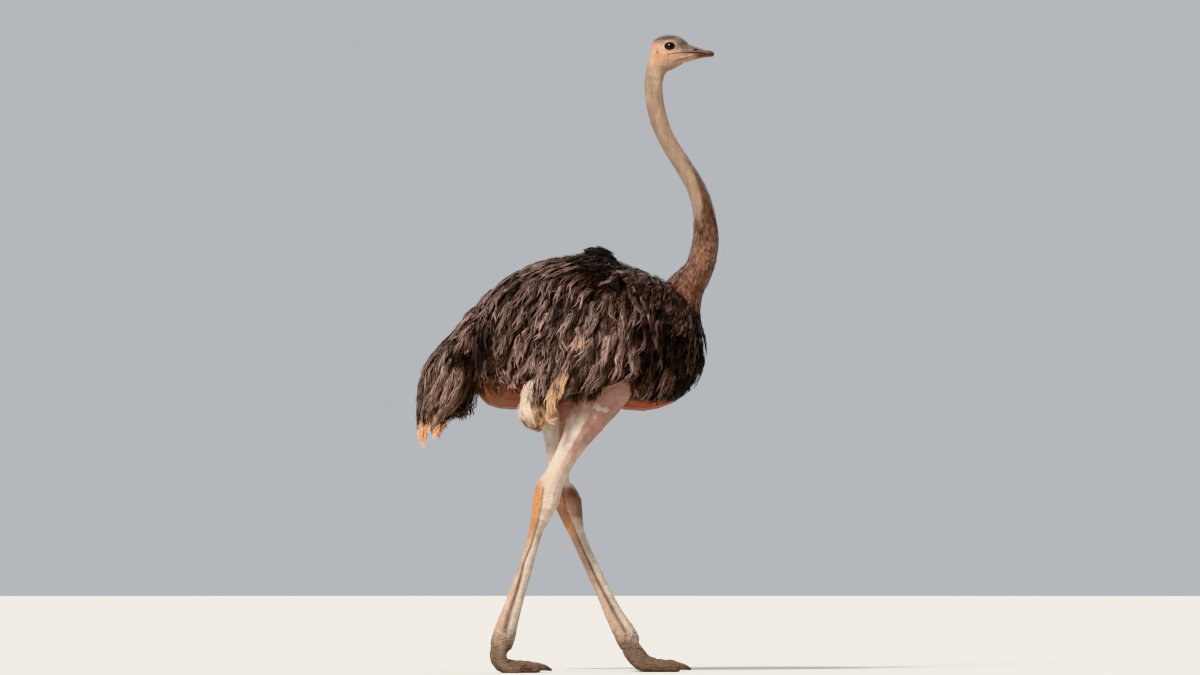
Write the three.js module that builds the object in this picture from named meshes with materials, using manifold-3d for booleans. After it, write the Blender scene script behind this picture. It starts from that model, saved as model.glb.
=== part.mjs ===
// A life-size walking ostrich, as closed solids in millimetres.
// +X is forward (the way the bill points), +Y is the bird's left, +Z is up.
// The origin lies on the floor, under the middle of the whole bird.
// Trunk, wings and tail reach out to the tips of the plumage.
import * as THREE from "three";
import { mergeVertices } from "three/addons/utils/BufferGeometryUtils.js";
import Module from "manifold-3d";

const wasm = await Module();
wasm.setup();

// ---------------------------------------------------------------- driving dimensions
const GAP = 0.4; // left open between pieces that meet
const MIDDLE = 8.5; // the distances along X below are from a point this far behind the middle
const AHEAD = new THREE.Vector3(1, 0, 0);
const UP = new THREE.Vector3(0, 0, 1);
const LEFT = new THREE.Vector3(0, 1, 0);
const SIDES = { right: -1, left: 1 };

// The trunk: heights of its outline and its half width at distances along the body.
const TRUNK = [
  { x: -322, top: 1165, bottom: 985, half: 55 },
  { x: -300, top: 1228, bottom: 925, half: 105 },
  { x: -262, top: 1262, bottom: 886, half: 140 },
  { x: -205, top: 1312, bottom: 870, half: 170 },
  { x: -120, top: 1357, bottom: 872, half: 198 },
  { x: -30, top: 1383, bottom: 882, half: 212 },
  { x: 70, top: 1391, bottom: 888, half: 218 },
  { x: 175, top: 1370, bottom: 872, half: 212 },
  { x: 260, top: 1338, bottom: 865, half: 196 },
  { x: 335, top: 1305, bottom: 880, half: 172 },
  { x: 400, top: 1258, bottom: 918, half: 132 },
  { x: 444, top: 1196, bottom: 966, half: 85 },
  { x: 464, top: 1122, bottom: 1030, half: 35 },
];
const TUFT = { x: 112, z: 1374, length: 62, height: 36, half: 58 }; // raised feathers on the back

// The wing lies against the flank. Its section leans in at the top.
const WING = [
  { x: 306, y: 138, top: 1200, bottom: 1045, half: 40 },
  { x: 270, y: 160, top: 1262, bottom: 985, half: 66 },
  { x: 185, y: 174, top: 1304, bottom: 948, half: 84 },
  { x: 80, y: 178, top: 1320, bottom: 922, half: 88 },
  { x: -20, y: 172, top: 1308, bottom: 902, half: 84 },
  { x: -105, y: 155, top: 1262, bottom: 885, half: 68 },
  { x: -175, y: 138, top: 1180, bottom: 935, half: 42 },
  { x: -205, y: 128, top: 1120, bottom: 985, half: 22 },
];
const WING_LEAN = 0.3; // radians
// The plumes of the wing's tip hang below it.
const WING_TIP = [
  { x: -88, y: 168, z: 985, deep: 62, wide: 46 },
  { x: -102, y: 168, z: 930, deep: 57, wide: 44 },
  { x: -108, y: 164, z: 880, deep: 51, wide: 38 },
  { x: -110, y: 158, z: 842, deep: 42, wide: 29 },
  { x: -112, y: 154, z: 814, deep: 24, wide: 14 },
];

// The drooping tail: front and back edge and half width at heights from the rump to the tips.
const TAIL = [
  { z: 1212, back: -322, front: -262, half: 52 },
  { z: 1170, back: -345, front: -266, half: 84 },
  { z: 1125, back: -375, front: -270, half: 104 },
  { z: 1075, back: -425, front: -276, half: 116 },
  { z: 1028, back: -462, front: -282, half: 118 },
  { z: 980, back: -487, front: -290, half: 114 },
  { z: 930, back: -494, front: -302, half: 106 },
  { z: 885, back: -491, front: -338, half: 96 },
  { z: 840, back: -491, front: -386, half: 80 },
  { z: 800, back: -487, front: -418, half: 60 },
  { z: 767, back: -482, front: -452, half: 34 },
];

// The neck from inside the breast up to the skull: centre line, half depth and half width.
const NECK = [
  { x: 352, z: 1190, deep: 112, wide: 92 },
  { x: 400, z: 1275, deep: 68, wide: 76 },
  { x: 444, z: 1342, deep: 49, wide: 58 },
  { x: 462, z: 1400, deep: 47, wide: 48 },
  { x: 468, z: 1453, deep: 43.5, wide: 43 },
  { x: 465, z: 1507, deep: 40, wide: 39 },
  { x: 455, z: 1560, deep: 37, wide: 36.5 },
  { x: 434, z: 1618, deep: 34, wide: 34.5 },
  { x: 390, z: 1693, deep: 31, wide: 32.5 },
  { x: 340, z: 1773, deep: 30, wide: 31.5 },
  { x: 309, z: 1850, deep: 32, wide: 31 },
  { x: 295, z: 1925, deep: 32, wide: 30.5 },
  { x: 295, z: 1975, deep: 32.5, wide: 30.5 },
  { x: 304, z: 2015, deep: 35, wide: 31 },
  { x: 316, z: 2052, deep: 32, wide: 29 },
];
// Shares of the way up at which the neck is parted.
const NECK_PARTS = { neck_base: [0, 0.27], neck_middle: [0.27, 0.57], neck_upper: [0.57, 0.86] };

// The skull and bill in one: heights of the outline and half width.
const HEAD = [
  { x: 284, top: 2088, bottom: 2030, half: 14 },
  { x: 291, top: 2102, bottom: 2012, half: 24 },
  { x: 305, top: 2114, bottom: 2000, half: 32 },
  { x: 325, top: 2123, bottom: 1998, half: 37 },
  { x: 345, top: 2125, bottom: 2003, half: 40 },
  { x: 365, top: 2123, bottom: 2013, half: 40 },
  { x: 384, top: 2116, bottom: 2023, half: 36 },
  { x: 402, top: 2105, bottom: 2031, half: 32 },
  { x: 418, top: 2093, bottom: 2037, half: 29 },
  { x: 440, top: 2085, bottom: 2044, half: 26.5 },
  { x: 465, top: 2077, bottom: 2050, half: 22.5 },
  { x: 486, top: 2072.5, bottom: 2052, half: 15.5 },
  { x: 495, top: 2067.5, bottom: 2055, half: 9 },
];
const BILL = { x: 404, z: 2068, lean: 0.3 }; // where the horn meets the face, leaning back by radians
const BILL_ROOM = 200; // side of a block that holds the whole bill
// The line between the halves of the bill, from just inside the face to past the tip.
const GAPE = { start: 396, length: 110, width: 120, heights: [2066.5, 2069, 2068.5, 2066, 2061, 2058] };
const NOSTRIL = { x: 435, y: 24, z: 2075, length: 7, depth: 4, height: 2 };
const EYE = { x: 348, y: 21, z: 2088, radius: 19 };
const LIDS = { length: 17.5, height: 12.5, depth: 40, out: 24 }; // half sizes of the opening, and its bore

// Each leg: its centre line with half depth and half width, from inside the flank to the foot.
// The right leg trails with its foot rolled up onto the toes, and the left foot is set down flat.
const LEGS = {
  right: [
    { x: 178, y: 122, z: 1055, deep: 114, wide: 70 },
    { x: 142, y: 122, z: 974, deep: 99, wide: 72 },
    { x: 104, y: 120, z: 905, deep: 87, wide: 70 },
    { x: 64, y: 115, z: 828, deep: 62, wide: 58 },
    { x: 28, y: 110, z: 764, deep: 45, wide: 46 },
    { x: -4, y: 106, z: 706, deep: 36.5, wide: 37 },
    { x: -36, y: 103, z: 645, deep: 37, wide: 36 },
    { x: -54, y: 101, z: 614, deep: 45, wide: 39 },
    { x: -62, y: 100, z: 578, deep: 45, wide: 41 },
    { x: -76, y: 98, z: 532, deep: 37, wide: 35 },
    { x: -95, y: 97, z: 478, deep: 24, wide: 25 },
    { x: -111, y: 97, z: 420, deep: 21.5, wide: 21 },
    { x: -133, y: 96, z: 345, deep: 24, wide: 20.5 },
    { x: -160, y: 96, z: 260, deep: 27, wide: 21 },
    { x: -186, y: 96, z: 180, deep: 34, wide: 27 },
    { x: -203, y: 96, z: 124, deep: 40, wide: 36 },
    { x: -213, y: 96, z: 84, deep: 39, wide: 37 },
  ],
  left: [
    { x: -20, y: 122, z: 1060, deep: 105, wide: 70 },
    { x: -20, y: 122, z: 975, deep: 100, wide: 72 },
    { x: -20, y: 120, z: 895, deep: 84, wide: 69 },
    { x: -20, y: 115, z: 815, deep: 62, wide: 57 },
    { x: -22, y: 110, z: 745, deep: 46, wide: 46 },
    { x: -24, y: 106, z: 685, deep: 37, wide: 37 },
    { x: -19, y: 104, z: 628, deep: 32, wide: 34 },
    { x: -3, y: 102, z: 601, deep: 39, wide: 38 },
    { x: 8, y: 100, z: 568, deep: 46, wide: 41 },
    { x: 20, y: 98, z: 520, deep: 38, wide: 35 },
    { x: 36, y: 97, z: 468, deep: 27, wide: 25 },
    { x: 59, y: 97, z: 412, deep: 24, wide: 21 },
    { x: 93, y: 96, z: 340, deep: 24.5, wide: 20.5 },
    { x: 131, y: 96, z: 258, deep: 25.5, wide: 21 },
    { x: 167, y: 96, z: 182, deep: 32, wide: 27 },
    { x: 200, y: 96, z: 126, deep: 39, wide: 36 },
    { x: 216, y: 96, z: 92, deep: 38, wide: 37 },
  ],
};
const HOCK = 0.588; // share of the way down at which the shank ends below the hock
const FOOT = 0.906; // share of the way down at which the foot begins

// The toes: centre lines from the ball of the foot out, with half height and half width.
// `out` is measured away from the bird's middle.
const BIG_TOES = {
  right: [
    { x: -214, out: 94, z: 92, deep: 31, wide: 30 },
    { x: -224, out: 93, z: 62, deep: 29, wide: 30 },
    { x: -214, out: 92, z: 32, deep: 29, wide: 31 },
    { x: -182, out: 91, z: 22, deep: 24, wide: 30 },
    { x: -148, out: 90, z: 20, deep: 21, wide: 27 },
    { x: -112, out: 89, z: 19, deep: 20.5, wide: 25 },
    { x: -82, out: 88, z: 17, deep: 16, wide: 20 },
  ],
  left: [
    { x: 214, out: 94, z: 90, deep: 33, wide: 30 },
    { x: 236, out: 93, z: 55, deep: 35, wide: 32 },
    { x: 262, out: 92, z: 31, deep: 31, wide: 33 },
    { x: 296, out: 91, z: 24, deep: 26, wide: 32 },
    { x: 328, out: 90, z: 21, deep: 22, wide: 28 },
    { x: 358, out: 89, z: 20, deep: 21, wide: 26 },
    { x: 382, out: 88, z: 17, deep: 16, wide: 20 },
  ],
};
const SMALL_TOES = {
  right: [
    { x: -210, out: 116, z: 78, deep: 22, wide: 20 },
    { x: -212, out: 130, z: 47, deep: 20, wide: 18 },
    { x: -196, out: 142, z: 20, deep: 20, wide: 17 },
    { x: -168, out: 150, z: 14, deep: 17, wide: 16 },
    { x: -144, out: 154, z: 11, deep: 12, wide: 11 },
  ],
  left: [
    { x: 220, out: 116, z: 76, deep: 22, wide: 20 },
    { x: 236, out: 130, z: 42, deep: 22, wide: 18 },
    { x: 258, out: 142, z: 19, deep: 20, wide: 17 },
    { x: 284, out: 150, z: 14, deep: 17, wide: 16 },
    { x: 306, out: 154, z: 11, deep: 12, wide: 11 },
  ],
};
const CLAW = { length: 46, deep: 13, wide: 15, z: 20, inset: 8, drop: 12, inward: 3 };
const CLAW_TIP = { deep: 0.18, wide: 0.15 }; // sizes at its point, as shares of those at its root
const FLOOR = { length: 1200, width: 800, depth: 60 }; // the block that levels the soles
// How square the sections are: 2 is an ellipse.
const FULLNESS = { trunk: 2.15, tail: 2.2, skull: 2.1, toes: 2.3 };

const LOOKS = {
  plumage: { color: 0x241c19, roughness: 0.9 },
  tail: { color: 0x3a2a20, roughness: 0.9 },
  neck: { color: 0x9c8773, roughness: 0.85 },
  head: { color: 0xa98e70, roughness: 0.8 },
  bill: { color: 0x9a7d62, roughness: 0.45 },
  eye: { color: 0x1a0f0a, roughness: 0.08 },
  skin: { color: 0xc9b4a6, roughness: 0.7 },
  scales: { color: 0xb49d8c, roughness: 0.6 },
  claw: { color: 0x4b3a30, roughness: 0.4 },
};

// ---------------------------------------------------------------- solids
function toSolid(geometry) {
  const bare = geometry.clone();
  bare.deleteAttribute("normal");
  bare.deleteAttribute("uv");
  const merged = mergeVertices(bare, 1e-3);
  return new wasm.Manifold(
    new wasm.Mesh({
      numProp: 3,
      vertProperties: new Float32Array(merged.attributes.position.array),
      triVerts: new Uint32Array(merged.index.array),
    }),
  );
}

function toMesh(name, solid, look) {
  const cut = solid.getMesh();
  const geometry = new THREE.BufferGeometry();
  geometry.setAttribute("position", new THREE.BufferAttribute(new Float32Array(cut.vertProperties), 3));
  geometry.setIndex(new THREE.BufferAttribute(new Uint32Array(cut.triVerts), 1));
  geometry.computeVertexNormals();
  const mesh = new THREE.Mesh(geometry, new THREE.MeshStandardMaterial({ metalness: 0, ...LOOKS[look] }));
  mesh.name = name;
  return mesh;
}

// A closed skin over rings of points, each end closed by a fan round the ring's middle.
function skinOver(rings) {
  const sides = rings[0].length;
  const points = rings.flat();
  const index = [];
  for (let ring = 0; ring < rings.length - 1; ring += 1) {
    for (let side = 0; side < sides; side += 1) {
      const here = ring * sides + side;
      const beside = ring * sides + ((side + 1) % sides);
      index.push(here, here + sides, beside);
      index.push(beside, here + sides, beside + sides);
    }
  }
  for (const ring of [0, rings.length - 1]) {
    const middle = rings[ring].reduce((sum, point) => sum.add(point), new THREE.Vector3());
    points.push(middle.divideScalar(sides));
    for (let side = 0; side < sides; side += 1) {
      const here = ring * sides + side;
      const beside = ring * sides + ((side + 1) % sides);
      index.push(points.length - 1, ...(ring === 0 ? [here, beside] : [beside, here]));
    }
  }
  const geometry = new THREE.BufferGeometry().setFromPoints(points);
  geometry.setIndex(index);
  const solid = toSolid(geometry);
  return solid.volume() > 0 ? solid : toSolid(flipped(geometry));
}

function flipped(geometry) {
  const turned = geometry.clone();
  const index = turned.index.array;
  for (let face = 0; face < index.length; face += 3) {
    [index[face], index[face + 1]] = [index[face + 1], index[face]];
  }
  return turned;
}

function roundedRing(centre, across, upward, wide, deep, sides, fullness) {
  const ring = [];
  for (let side = 0; side < sides; side += 1) {
    const angle = (2 * Math.PI * side) / sides;
    const along = Math.sign(Math.cos(angle)) * Math.abs(Math.cos(angle)) ** (2 / fullness);
    const raised = Math.sign(Math.sin(angle)) * Math.abs(Math.sin(angle)) ** (2 / fullness);
    const point = centre.clone().addScaledVector(across, wide * along);
    ring.push(point.addScaledVector(upward, deep * raised));
  }
  return ring;
}

// A smooth curve through one set of values of each station.
function curveOf(stations, valuesOf) {
  return new THREE.CatmullRomCurve3(stations.map((station) => new THREE.Vector3(...valuesOf(station))));
}

// A body whose sections stand upright across X, or lean by `lean` about X.
function barrel(stations, { side = 0, rings, sides, fullness = 2, grow = 0, lean = 0 }) {
  const middle = (station) => (station.top + station.bottom) / 2;
  const centres = curveOf(stations, (s) => [s.x, side * (s.y ?? 0), middle(s)]);
  const sizes = curveOf(stations, (s) => [s.half, (s.top - s.bottom) / 2, 0]);
  const across = LEFT.clone().applyAxisAngle(AHEAD, side * lean);
  const upward = UP.clone().applyAxisAngle(AHEAD, side * lean);
  const result = [];
  for (let ring = 0; ring <= rings; ring += 1) {
    const centre = centres.getPoint(ring / rings);
    const size = sizes.getPoint(ring / rings);
    const past = ring === 0 ? -grow : ring === rings ? grow : 0;
    centre.x += past * Math.sign(stations.at(-1).x - stations[0].x);
    result.push(roundedRing(centre, across, upward, size.x + grow, size.y + grow, sides, fullness));
  }
  return skinOver(result);
}

// A body whose sections lie level, one over the other.
function stack(stations, { rings, sides }) {
  const centres = curveOf(stations, (s) => [(s.back + s.front) / 2, 0, s.z]);
  const sizes = curveOf(stations, (s) => [(s.front - s.back) / 2, s.half, 0]);
  const result = [];
  for (let ring = 0; ring <= rings; ring += 1) {
    const size = sizes.getPoint(ring / rings);
    const centre = centres.getPoint(ring / rings);
    result.push(roundedRing(centre, AHEAD, LEFT, size.x, size.y, sides, FULLNESS.tail));
  }
  return skinOver(result);
}

// A limb round a bent centre line, from one share of its length to another.
function limb(stations, { side = 1, from = 0, to = 1, rings, sides, fullness = 2, grow = 0 }) {
  const centres = curveOf(stations, (s) => [s.x, side * (s.y ?? s.out ?? 0), s.z]);
  const sizes = curveOf(stations, (s) => [s.deep, s.wide, 0]);
  const result = [];
  for (let ring = 0; ring <= rings; ring += 1) {
    const share = from + ((to - from) * ring) / rings;
    const size = sizes.getPoint(share);
    const ahead = centres.getTangent(share);
    const across = LEFT.clone().addScaledVector(ahead, -ahead.dot(LEFT)).normalize();
    const upward = new THREE.Vector3().crossVectors(ahead, across);
    const centre = centres.getPoint(share);
    const inset = (from > 0 && ring === 0 ? GAP / 2 : 0) - (to < 1 && ring === rings ? GAP / 2 : 0);
    const past = grow * (ring === 0 ? -1 : ring === rings ? 1 : 0);
    centre.addScaledVector(ahead, inset + past);
    result.push(roundedRing(centre, across, upward, size.y + grow, size.x + grow, sides, fullness));
  }
  return skinOver(result);
}

function ellipsoid(x, y, z, length, width, height, around = 12, over = 8) {
  const ball = new THREE.SphereGeometry(1, around, over);
  ball.rotateX(Math.PI / 2);
  ball.scale(length, width, height);
  ball.translate(x, y, z);
  return toSolid(ball);
}

// ---------------------------------------------------------------- the bird's parts
function makeTrunk(grow = 0) {
  const barrelled = barrel(TRUNK, { rings: 18, sides: 24, fullness: FULLNESS.trunk, grow });
  const tuft = ellipsoid(TUFT.x, 0, TUFT.z, TUFT.length + grow, TUFT.half + grow, TUFT.height + grow, 10, 6);
  return barrelled.add(tuft);
}

function makeShank(name, grow = 0) {
  return limb(LEGS[name], { side: SIDES[name], to: HOCK, rings: 14, sides: 14, grow });
}

function makeWing(name, trunk, shank) {
  const side = SIDES[name];
  const body = barrel(WING, { side, rings: 11, sides: 16, lean: WING_LEAN });
  const tip = limb(WING_TIP, { side, rings: 5, sides: 10 });
  return body.add(tip).subtract(trunk).subtract(shank);
}

function makeTail(trunk) {
  return stack(TAIL, { rings: 11, sides: 16 }).subtract(trunk);
}

// A block ahead of the sloping line where the horn meets the face.
function aheadOfFace(shift) {
  const block = new THREE.BoxGeometry(BILL_ROOM, BILL_ROOM, BILL_ROOM);
  block.translate(BILL_ROOM / 2, 0, 0);
  block.rotateY(BILL.lean);
  block.translate(BILL.x + shift, 0, BILL.z);
  return toSolid(block);
}

// A thin curved sheet between the two halves of the bill.
function makeGape() {
  const step = GAPE.length / (GAPE.heights.length - 1);
  const line = GAPE.heights.map((height, place) => new THREE.Vector2(GAPE.start + step * place, height));
  const curve = new THREE.SplineCurve(line).getPoints(14);
  const outline = new THREE.Shape([
    ...curve.map((point) => new THREE.Vector2(point.x, point.y + GAP / 2)),
    ...curve.reverse().map((point) => new THREE.Vector2(point.x, point.y - GAP / 2)),
  ]);
  const sheet = new THREE.ExtrudeGeometry(outline, { depth: GAPE.width, bevelEnabled: false });
  sheet.translate(0, 0, -GAPE.width / 2);
  sheet.rotateX(Math.PI / 2);
  return toSolid(sheet);
}

function makeSkull() {
  const skull = barrel(HEAD, { rings: 17, sides: 18, fullness: FULLNESS.skull });
  const nape = limb(NECK, { from: NECK_PARTS.neck_upper[1], rings: 5, sides: 14 });
  return skull.add(nape);
}

function makeEye(side, grow = 0) {
  const radius = EYE.radius + grow;
  return ellipsoid(EYE.x, side * EYE.y, EYE.z, radius, radius, radius);
}

function makeSocket(side) {
  const opening = new THREE.CylinderGeometry(1, 1, LIDS.depth, 16);
  opening.scale(LIDS.length, 1, LIDS.height);
  opening.translate(EYE.x, side * (EYE.y + LIDS.out), EYE.z);
  return makeEye(side, GAP).add(toSolid(opening));
}

function makeHead(skull) {
  return skull.subtract(aheadOfFace(-GAP / 2)).subtract(makeSocket(1)).subtract(makeSocket(-1));
}

function makeBill(skull) {
  const horn = skull.intersect(aheadOfFace(GAP / 2)).subtract(makeGape());
  const top = (solid) => solid.boundingBox().max[2];
  const halves = horn.decompose().sort((one, other) => top(other) - top(one));
  const { length, depth, height } = NOSTRIL;
  let upper = halves[0];
  for (const side of Object.values(SIDES)) {
    upper = upper.subtract(ellipsoid(NOSTRIL.x, side * NOSTRIL.y, NOSTRIL.z, length, depth, height, 8, 6));
  }
  return { bill_upper: upper, bill_lower: halves[1] };
}

function makeFloor() {
  const block = new THREE.BoxGeometry(FLOOR.length, FLOOR.width, FLOOR.depth);
  block.translate(0, 0, -FLOOR.depth / 2);
  return toSolid(block);
}

function makeClaw(name, grow = 0) {
  const side = SIDES[name];
  const tip = BIG_TOES[name].at(-1);
  const stations = [0, 0.3, 0.6, 0.85, 1].map((share) => ({
    x: tip.x - CLAW.inset + CLAW.length * share,
    out: tip.out - CLAW.inward * share,
    z: CLAW.z - CLAW.drop * share ** 2,
    deep: CLAW.deep * (1 - (1 - CLAW_TIP.deep) * share ** 2),
    wide: CLAW.wide * (1 - (1 - CLAW_TIP.wide) * share ** 2.5),
  }));
  return limb(stations, { side, rings: 6, sides: 8, grow });
}

function makeFoot(name, floor) {
  const side = SIDES[name];
  const ballOptions = { side, from: FOOT, rings: 4, sides: 12 };
  const ball = limb(LEGS[name], ballOptions);
  const grownBall = limb(LEGS[name], { ...ballOptions, grow: GAP });
  const toeOptions = { side, rings: 11, sides: 10, fullness: FULLNESS.toes };
  const bigToe = limb(BIG_TOES[name], toeOptions);
  const grownToe = limb(BIG_TOES[name], { ...toeOptions, grow: 2 * GAP });
  const smallToe = limb(SMALL_TOES[name], { side, rings: 7, sides: 8 });
  const claw = makeClaw(name);
  return {
    foot: ball.subtract(floor),
    big_toe: bigToe.subtract(grownBall).subtract(makeClaw(name, GAP)).subtract(floor),
    small_toe: smallToe.subtract(grownBall).subtract(grownToe).subtract(floor),
    claw: claw.subtract(floor),
  };
}

// ---------------------------------------------------------------- assembly
const bird = new THREE.Group();
bird.position.x = -MIDDLE;
const trunk = makeTrunk();
const aroundTrunk = makeTrunk(GAP);
bird.add(toMesh("trunk", trunk, "plumage"));
bird.add(toMesh("tail", makeTail(aroundTrunk), "tail"));

for (const [name, [from, to]] of Object.entries(NECK_PARTS)) {
  const length = limb(NECK, { from, to, rings: Math.round(38 * (to - from)), sides: 14 });
  bird.add(toMesh(name, from === 0 ? length.subtract(aroundTrunk) : length, "neck"));
}

const skull = makeSkull();
bird.add(toMesh("head", makeHead(skull), "head"));
for (const [name, solid] of Object.entries(makeBill(skull))) {
  bird.add(toMesh(name, solid, "bill"));
}

const floor = makeFloor();
for (const [name, side] of Object.entries(SIDES)) {
  bird.add(toMesh(`eye_${name}`, makeEye(side), "eye"));
  bird.add(toMesh(`wing_${name}`, makeWing(name, aroundTrunk, makeShank(name, GAP)), "plumage"));
  bird.add(toMesh(`shank_${name}`, makeShank(name).subtract(aroundTrunk), "skin"));
  const tarsus = limb(LEGS[name], { side, from: HOCK, to: FOOT, rings: 9, sides: 14 });
  bird.add(toMesh(`tarsus_${name}`, tarsus, "scales"));
  for (const [piece, solid] of Object.entries(makeFoot(name, floor))) {
    bird.add(toMesh(`${piece}_${name}`, solid, piece === "claw" ? "claw" : "scales"));
  }
}

export default bird;
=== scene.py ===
"""The looks of a life-size walking ostrich: one skin, horn, eyes, claws and a coat of loose plumes.

Everything is in metres in the part's own frame: +X forward, +Y the bird's left, +Z up, floor at z = 0.
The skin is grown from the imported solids. The plumes are thin ribbons laid along the body.
"""

import math

import bmesh
import bpy
import numpy as np
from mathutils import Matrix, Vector
from mathutils.bvhtree import BVHTree


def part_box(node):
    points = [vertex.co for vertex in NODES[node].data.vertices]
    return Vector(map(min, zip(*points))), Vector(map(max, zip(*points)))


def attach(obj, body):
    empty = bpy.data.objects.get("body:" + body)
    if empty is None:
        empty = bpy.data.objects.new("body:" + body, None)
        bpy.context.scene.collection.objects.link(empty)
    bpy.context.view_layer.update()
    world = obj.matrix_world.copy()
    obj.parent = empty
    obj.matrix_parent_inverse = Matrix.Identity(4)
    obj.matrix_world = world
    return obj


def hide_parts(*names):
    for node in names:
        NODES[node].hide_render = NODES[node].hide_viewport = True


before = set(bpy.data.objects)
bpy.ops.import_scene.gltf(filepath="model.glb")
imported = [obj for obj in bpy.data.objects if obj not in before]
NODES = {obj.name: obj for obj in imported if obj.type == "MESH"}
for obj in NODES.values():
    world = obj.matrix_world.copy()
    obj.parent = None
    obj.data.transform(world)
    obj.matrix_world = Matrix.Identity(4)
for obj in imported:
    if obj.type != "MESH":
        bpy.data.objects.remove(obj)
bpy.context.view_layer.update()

SIDES = {"right": -1.0, "left": 1.0}
SEED = 20
PATCH = 0.003  # size of one tuft's patch in the coat's UV map

# ---------------------------------------------------------------- numbers and small helpers


def smoothstep(low, high, value):
    """0 at low, 1 at high, and a soft climb between them."""
    share = clamp((np.asarray(value, float) - low) / (high - low))
    return share * share * (3.0 - 2.0 * share)


def unit(vectors):
    length = np.linalg.norm(vectors, axis=-1, keepdims=True)
    return vectors / np.maximum(length, 1e-9)


def blend(a, b, weight):
    return a + (b - a) * weight


def clamp(value):
    return np.clip(value, 0.0, 1.0)


def bell(distance, width):
    """1 in the middle, falling to nothing on both sides."""
    return np.exp(-((distance / width) ** 2))


def curve(value, corners):
    """Reads a line of straight pieces, given by its corners, at the values."""
    return np.interp(value, *np.array(corners).T)


def mirrored(place, side):
    """A place on the bird's left, on the side asked for."""
    return np.array(place) * (1.0, side, 1.0)


def noise3(points, size, seed):
    """Smooth noise from -1 to 1 at points, with lumps of the given size."""
    cell = np.asarray(points, float) / size + 1000.0
    base = np.floor(cell).astype(np.int64)
    part = cell - base
    part = part * part * (3.0 - 2.0 * part)
    total = np.zeros(len(cell))
    for corner in range(8):
        step = np.array([corner & 1, corner >> 1 & 1, corner >> 2 & 1])
        i, j, k = (base + step).T
        mixed = i * 73856093 ^ j * 19349663 ^ k * 83492791 ^ seed * 2654435761
        mixed = (mixed ^ mixed >> 13) * 1274126177 & 0x7FFFFFFF
        value = (mixed % 65536) / 32767.5 - 1.0
        weight = np.prod(np.where(step == 1, part, 1.0 - part), axis=1)
        total += value * weight
    return total


def layered_noise(points, size, seed):
    """Three layers of noise, each half as large and half as strong as the one before."""
    return sum(noise3(points, size / 2**layer, seed + layer) / 2**layer for layer in range(3)) / 1.75


def finished(maker, name):
    """Turns a bmesh into a mesh."""
    mesh = bpy.data.meshes.new(name)
    maker.to_mesh(mesh)
    maker.free()
    return mesh


def mesh_points(mesh):
    points = np.empty(len(mesh.vertices) * 3, np.float32)
    mesh.vertices.foreach_get("co", points)
    return points.reshape(-1, 3).astype(float)


def set_points(mesh, points):
    mesh.vertices.foreach_set("co", np.asarray(points, np.float32).ravel())
    mesh.update()


def mesh_edges(mesh):
    edges = np.empty(len(mesh.edges) * 2, np.int32)
    mesh.edges.foreach_get("vertices", edges)
    return edges.reshape(-1, 2)


def spread(values, edges, rounds, factor=0.5):
    """Evens values out between neighbours along the edges."""
    values = np.array(values, float)
    flat = values.reshape(len(values), -1)
    count = np.bincount(edges.ravel(), minlength=len(flat)).astype(float)
    count = np.maximum(count, 1.0)[:, None]
    for _ in range(rounds):
        total = np.zeros_like(flat)
        for column in range(flat.shape[1]):
            for near, far in ((0, 1), (1, 0)):
                share = flat[edges[:, far], column]
                total[:, column] += np.bincount(edges[:, near], weights=share, minlength=len(flat))
        flat += (total / count - flat) * factor
    return flat.reshape(values.shape)


def smooth_shape(mesh, rounds):
    """Smooths a mesh without shrinking it."""
    edges = mesh_edges(mesh)
    points = mesh_points(mesh)
    for _ in range(rounds):
        points = spread(points, edges, 1, 0.6)
        points = spread(points, edges, 1, -0.62)
    set_points(mesh, points)


def vertex_normals(mesh):
    normals = np.empty(len(mesh.vertices) * 3, np.float32)
    mesh.vertex_normals.foreach_get("vector", normals)
    return normals.reshape(-1, 3).astype(float)


def add_value(mesh, name, values):
    mesh.attributes.new(name, "FLOAT", "POINT").data.foreach_set("value", np.asarray(values, np.float32))


def add_tone(mesh, name, colours):
    data = np.ones((len(colours), 4), np.float32)
    data[:, :3] = colours
    mesh.attributes.new(name, "FLOAT_COLOR", "POINT").data.foreach_set("color", data.ravel())


def add_object(name, data):
    made = bpy.data.objects.new(name, data)
    bpy.context.scene.collection.objects.link(made)
    return made


def make_object(name, mesh, material):
    made = add_object(name, mesh)
    mesh.materials.clear()
    mesh.materials.append(material)
    mesh.polygons.foreach_set("use_smooth", np.ones(len(mesh.polygons), bool))
    return made


def apply_modifiers(made):
    """Replaces the object's mesh by what its modifiers make of it."""
    graph = bpy.context.evaluated_depsgraph_get()
    result = bpy.data.meshes.new_from_object(made.evaluated_get(graph))
    made.modifiers.clear()
    made.data = result
    return result


def node_copy(names, change=None):
    """One mesh with copies of the named solids. change(name, points) may move their points."""
    points = []
    faces = []
    for name in names:
        mesh = NODES[name].data
        here = mesh_points(mesh)
        if change is not None:
            here = change(name, here)
        start = sum(len(p) for p in points)
        points.append(here)
        faces.extend([tuple(start + v for v in polygon.vertices) for polygon in mesh.polygons])
    joined = bpy.data.meshes.new("joined")
    joined.from_pydata(np.concatenate(points).tolist(), [], faces)
    welded = bmesh.new()
    welded.from_mesh(joined)
    bmesh.ops.remove_doubles(welded, verts=welded.verts, dist=1e-6)
    welded.to_mesh(joined)
    welded.free()
    return joined


def remeshed(mesh, voxel):
    """The outer surface of all that the mesh encloses, in even small faces."""
    holder = add_object("remeshed", mesh)
    modifier = holder.modifiers.new("voxels", "REMESH")
    modifier.mode = "VOXEL"
    modifier.voxel_size = voxel
    result = apply_modifiers(holder)
    bpy.data.objects.remove(holder)
    return result


# ---------------------------------------------------------------- materials


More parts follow.
